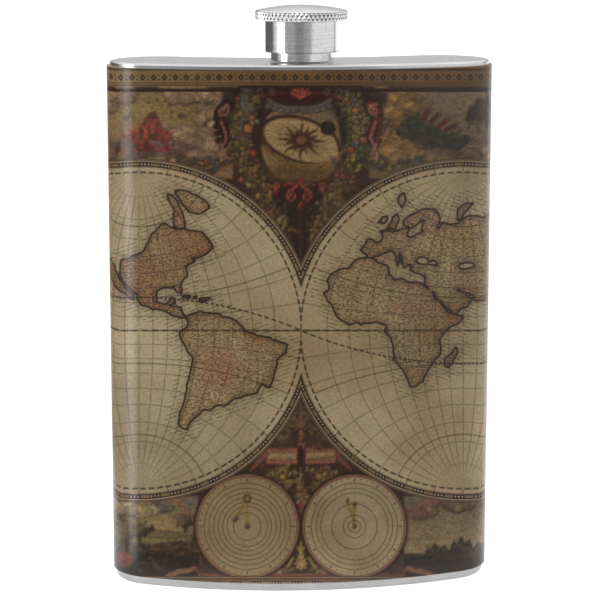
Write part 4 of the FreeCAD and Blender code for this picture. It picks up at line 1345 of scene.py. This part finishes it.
def chart_maps(u, v, coast, sheet):
    """Draws the hemispheres' lines: graticule, circles, rings and coasts."""
    side = fn("SIGN", u)
    x, y, ring = map_place(u, v)
    turn = fn("ARCTAN2", y, x) * DEGREES
    inside = below(ring, MAP_RADIUS, 0.2)
    rho = fn("MAXIMUM", ring / MAP_RADIUS, 0.002)
    bend = fn("ARCTANGENT", rho) * 2.0
    sin_bend, cos_bend = fn("SINE", bend), fn("COSINE", bend)
    lat = fn("ARCSINE", y / MAP_RADIUS / rho * sin_bend) * DEGREES
    lon = fn("ARCTAN2", x / MAP_RADIUS * sin_bend, rho * cos_bend) * DEGREES
    degree = (rho * rho + 1.0) * (MAP_RADIUS / 2 / DEGREES)      # mm to a degree
    shrink = fn("COSINE", lat * (1 / DEGREES))
    ink = (0.030, 0.018, 0.010)
    net = most(line(nearest(lat, 10.0) * degree, 0.26, 0.24), line(nearest(lon, 10.0) * degree * shrink,
        0.26, 0.24))
    net = net * above(ring, 1.0, 0.5) * (1.0 - above(abs(lat), 79.0, 8.0) * 0.6)
    sheet.lay(net * inside * 0.5, ink)
    circles = most(*(line((abs(lat) - height) * degree, 0.34, 0.24) for height in (23.5, 66.5)))
    sheet.lay(circles * inside * 0.6, ink)
    equator = line(v, 0.5, 0.24) * (band(repeat(u, 2.4), 0.5, 2.0, 0.3) * 0.4 + 0.6)
    sheet.lay(equator * inside * 0.85, ink)
    tilt = math.tan(math.radians(23.5))
    sun = fn("ARCTANGENT", fn("COSINE", lon * (1 / DEGREES)) * tilt) * DEGREES
    path = line((lat + side * sun) * degree, 0.46, 0.22) * band(repeat(lon, 3.0), 0.5, 2.5, 0.4)
    sheet.lay(path * inside * 0.9, ink)
    # coast lines, short sea strokes beside them, and marks on the land
    sheet.lay(line(coast, 0.5, 0.24) * inside, ink)
    wander = noise(combine(u * 0.45, v * 2.4), 1.0, 1.0, 0.5)
    comb = line(nearest(v + side * u * 0.35 - 0.475, 0.95), 0.26, 0.22)
    reach = band(coast, -3.2, -0.3, 0.5) * above(wander, 0.49, 0.08)
    sheet.lay(comb * reach * inside * 0.7, ink)
    crumbs = noise(combine(u * 1.3, v * 2.7), 1.0, 4.0, 0.75)
    sheet.lay(above(crumbs, 0.525, 0.05) * above(coast, 0.25, 0.3) * inside * 0.78, ink)
    hills = noise(combine(u * 0.55, v * 0.9), 1.0, 4.0, 0.8)
    sheet.lay(above(hills, 0.56, 0.08) * above(coast, 0.5, 0.5) * inside * 0.45, (0.10, 0.055, 0.03))
    # the rings: dashed circle, pale ring with ticks, dark band with bars and dots
    dashes = band(repeat(turn, 3.0), 0.5, 2.5, 0.35)
    sheet.lay(line(ring - MAP_RADIUS, 0.5, 0.22) * (dashes * 0.75 + 0.1), ink)
    sheet.lay(line(nearest(turn, 10.0) * 0.68, 0.35, 0.25) * band(ring, 38.4, 39.5, 0.2) * 0.6, ink)
    sheet.lay(band(ring, 39.55, 41.5, 0.2) * 0.95, (0.028, 0.017, 0.011))
    step = repeat(turn, 6.9)
    row = ring - 40.1
    sheet.lay(band(step, 0.3, 3.2, 0.3) * line(row, 0.55, 0.25) * 0.75, (0.24, 0.15, 0.06))
    bead = nearest(step - 3.975, 1.15)
    bead = fn("SQRT", bead * bead * 0.47 + row * row)
    sheet.lay(below(bead, 0.2, 0.16) * above(step, 3.4, 0.1) * 0.7, (0.42, 0.34, 0.22))
    sheet.lay(line(ring - 40.85, 0.24, 0.2) * 0.75, (0.40, 0.29, 0.16))
    sheet.lay(line(ring - 41.25, 0.16, 0.2) * 0.5, (0.30, 0.20, 0.10))


def chart_dials(u, v, sheet):
    """Draws the dials' circles and ticks."""
    ink = (0.055, 0.034, 0.020)
    x, y, far = dial_place(u, v)
    turn = fn("ARCTAN2", y, x) * DEGREES
    left = below(u, 0.0, 0.1)
    both, on_left, on_right = (most(*(line(far - radius, 0.24,
        0.22) for radius in radii)) for radii in ((8.0, 9.1, 10.25), (3.3, 4.8, 5.8, 6.9),
        (1.45, 2.7, 5.4)))
    sheet.lay(most(both, on_left * left + on_right * (1.0 - left)) * 0.75, ink)
    sheet.lay(most(line(far - 11.8, 0.22, 0.2), line(far - 12.35, 0.2, 0.2)) * 0.7, ink)
    sheet.lay(below(off(nearest(turn, 7.5) * 0.195, far - 11.3), 0.17, 0.16) * 0.7, ink)
    hour = nearest(turn, 30.0) * 0.19
    sheet.lay(below(abs(hour) * 1.6 + abs(far - 10.9), 0.5, 0.2) * 0.7, ink)
    sheet.lay(below(off(hour, far - 8.55), 0.16, 0.16) * 0.5, ink)


def chart_borders(u, v, sheet):
    """Draws the rules and the rows of dashes and lozenges along both edges."""
    dark = (0.020, 0.010, 0.006)
    black = (0.016, 0.009, 0.005)
    gold = (0.20, 0.125, 0.055)
    row = abs(v - 60.25)
    lozenge = abs(nearest(u - 1.3, 2.6)) + row * 0.9
    sheet.lay(below(lozenge, 0.78, 0.14) * 0.92, black)
    sheet.lay(below(lozenge, 0.26, 0.14) * 0.8, (0.16, 0.10, 0.045))
    sheet.lay(below(abs(nearest(u, 2.6)) + abs(row - 0.5), 0.24, 0.12) * 0.9, black)
    for height, width in ((58.95, 0.2), (58.45, 0.22), (62.1, 0.5)):
        sheet.lay(line(v - height, width, 0.2) * 0.8, dark)
    outer = above(abs(u), 14.6, 0.2)
    rule = most(line(v - 57.2, 0.8, 0.2) * outer, line(v - 58.0, 0.5, 0.2) * (1.0 - outer),
        line(abs(u) - 14.6, 0.5, 0.2) * band(v, 57.0, 58.2, 0.2))
    sheet.lay(rule, dark)
    sheet.lay(below(v, -58.5, 0.2) * 0.9, (0.030, 0.017, 0.011))
    for height, width in ((-58.85, 0.28), (-59.45, 0.2), (-60.75, 0.24), (-61.4, 0.3)):
        sheet.lay(line(v - height, width, 0.2) * 0.85, gold)
    step = repeat(u, 4.8)
    row = v + 60.05
    sheet.lay(band(step, 0.2, 2.6, 0.2) * line(row, 0.5, 0.2) * 0.85, (0.24, 0.15, 0.065))
    dot = below(off(nearest(step - 3.05, 0.7), row), 0.17, 0.14) * above(step, 2.7, 0.1)
    sheet.lay(dot * 0.8, (0.36, 0.28, 0.17))


def printed_leatherette():
    """The wrap: an aged chart printed on satin leatherette."""
    material, shader = new_material("printed_wrap")
    u, v, coast = split(attribute("chart").outputs["Vector"])
    at = combine(u, v)
    sheet = Layers(attribute("paint").outputs["Color"])
    # engraver's texture, strong outside the maps and dials
    ring, far = map_place(u, v)[2], dial_place(u, v)[2]
    busy = above(ring, 41.0, 0.4) * above(far, DIAL_RADIUS, 0.3) * below(v, 57.8, 0.3) * 0.92 + 0.08
    scratch = noise(combine(u * 0.9, v * 1.3), 1.0, 5.0, 0.8, 0.6)
    hatch = noise(combine(u * 2.2 + v, v * 3.4 - u), 1.0, 2.0, 0.6)
    sheet.lay(above(scratch, 0.54, 0.09) * busy * 0.26, (0.016, 0.009, 0.006))
    sheet.lay(above(1.0 - scratch, 0.545, 0.10) * busy * 0.34, (1.7, 1.6, 1.45), "MULTIPLY")
    sheet.lay(above(hatch, 0.55, 0.08) * busy * 0.30, (0.018, 0.010, 0.007))
    chart_maps(u, v, coast, sheet)
    chart_dials(u, v, sheet)
    chart_borders(u, v, sheet)
    # age: blotches, foxing and specks, and the weave under the print
    sheet.lay(above(noise(at, 0.045, 4.0, 0.6), 0.52, 0.2) * 0.34, (0.45, 0.33, 0.2), "MULTIPLY")
    sheet.lay(above(noise(at, 0.7, 2.0, 0.5), 0.70, 0.06) * 0.25, (0.12, 0.07, 0.035))
    speck = noise(at, 1.3, 6.0, 0.8)
    sheet.lay(above(speck, 0.55, 0.12) * 0.20, (0.05, 0.03, 0.018))
    sheet.lay(above(1.0 - speck, 0.55, 0.12) * 0.22, (1.5, 1.5, 1.5), "MULTIPLY")
    weave = noise(combine(u * 3.2, v * 3.2), 1.0, 2.0, 0.6)
    sheet.lay(0.10, mix(weave, (0.0, 0.0, 0.0), (0.55, 0.5, 0.42)), "OVERLAY")
    pebble = add_node("ShaderNodeTexVoronoi", feature="DISTANCE_TO_EDGE")
    link(at, pebble.inputs["Vector"])
    pebble.inputs["Scale"].default_value = 1.6
    relief = fn("MINIMUM", Number(pebble.outputs["Distance"]) * 4.0, 1.0) + noise(at, 2.5, 2.0) * 0.5
    finish(shader, sheet.colour, 0.34 + weave * 0.12, relief, 0.03, 0.25, 0.0)
    shader.inputs["Specular IOR Level"].default_value = 0.12
    shader.inputs["Coat Weight"].default_value = 0.38
    shader.inputs["Coat Roughness"].default_value = 0.2
    return material


# ---------------------------------------------------------------------------- stage
STRIP_LEVEL = 4.6            # of the narrow light at the left that streaks the wrap


def make_camera():
    """The camera, at the eye that the print is drawn for."""
    data = bpy.data.cameras.new("camera")
    data.sensor_width = 36.0
    data.lens = 36.0 * FOCAL
    data.clip_start, data.clip_end = 0.01, 50.0
    camera = bpy.data.objects.new("camera", data)
    bpy.context.scene.collection.objects.link(camera)
    x, y, z = eye_point()
    camera.location = (x * MM, y * MM, z * MM)
    camera.rotation_euler = (math.pi / 2 - EYE_TILT, 0, -EYE_YAW)
    bpy.context.scene.camera = camera


def eye_point():
    """The eye in the row frame, in mm."""
    aside, back = EYE_ASIDE, -EYE_DISTANCE
    x = aside * math.cos(EYE_YAW) + back * math.sin(EYE_YAW)
    y = -aside * math.sin(EYE_YAW) + back * math.cos(EYE_YAW)
    return x, y + NECK_Y, EYE_HEIGHT


def make_stage():
    """A small lit white table, and a studio sky of soft boxes and gaps."""
    reach, setback = 105, 70     # the table's radius, and its middle behind the flask's
    around = [math.radians(k * 360 / 96) for k in range(96)]
    floor = mesh_piece("floor", [(reach * math.cos(a), setback + reach * math.sin(a), 0) for a in around],
        [tuple(range(96))], "flask")
    material, shader = new_material("floor")
    shader.inputs["Base Color"].default_value = (0.55, 0.55, 0.55, 1)
    shader.inputs["Roughness"].default_value = 0.8
    shader.inputs["Emission Color"].default_value = (1, 1, 1, 1)
    shader.inputs["Emission Strength"].default_value = 0.85
    floor.data.materials.append(material)
    world = bpy.data.worlds.new("studio")
    bpy.context.scene.world = world
    world.use_nodes = True
    Number.tree = world.node_tree
    background = world.node_tree.nodes["Background"]
    x, y, z = split(add_node("ShaderNodeTexCoord").outputs["Generated"])
    turn = fn("ARCTAN2", x, y * -1.0) * DEGREES        # 0 behind the camera, + to the right
    # soft boxes at both sides, two dark gaps, a strip, a white wall behind the flask, a bright top
    level = 0.50 + band(turn, -98.0, -61.0, 5.0) * 0.45 + band(turn, 28.0, 118.0, 6.0) * 0.55
    strip = band(turn, -82.0, -61.0, 5.0) * STRIP_LEVEL
    level = level - band(turn, -158.0, -104.0, 5.0) * 0.34 - band(turn, -24.0, 6.0, 8.0) * 0.16
    level = level * (1.0 - above(z * -1.0, 0.25, 0.4) * 0.6)
    behind = above(turn, 128.0, 4.0) + above(turn * -1.0, 158.0, 4.0)
    level = level + behind * (0.85 - above(z, 0.02, 0.12) * 0.75)
    top = above(z, 0.42, 0.4)
    level = level * (1.0 - top) + top * 1.4 + strip * band(z, -0.4, 0.5, 0.1)
    link(combine(level, level, level), background.inputs["Color"])
    background.inputs["Strength"].default_value = 1.0


bpy.context.scene.view_settings.view_transform = "Standard"
make_camera()
make_stage()
satin, turned = satin_steel("satin_plate"), turned_steel()
make_cap(turned)
make_top_plate(satin)
# the base plate gets the same steel, darkened to 0.66 as painted shade
make_base_plate(satin_steel("satin_base_painted_shade", 0.66))
make_wrap(printed_leatherette())
finish_hidden_parts(satin_steel("sheet_steel"), turned)
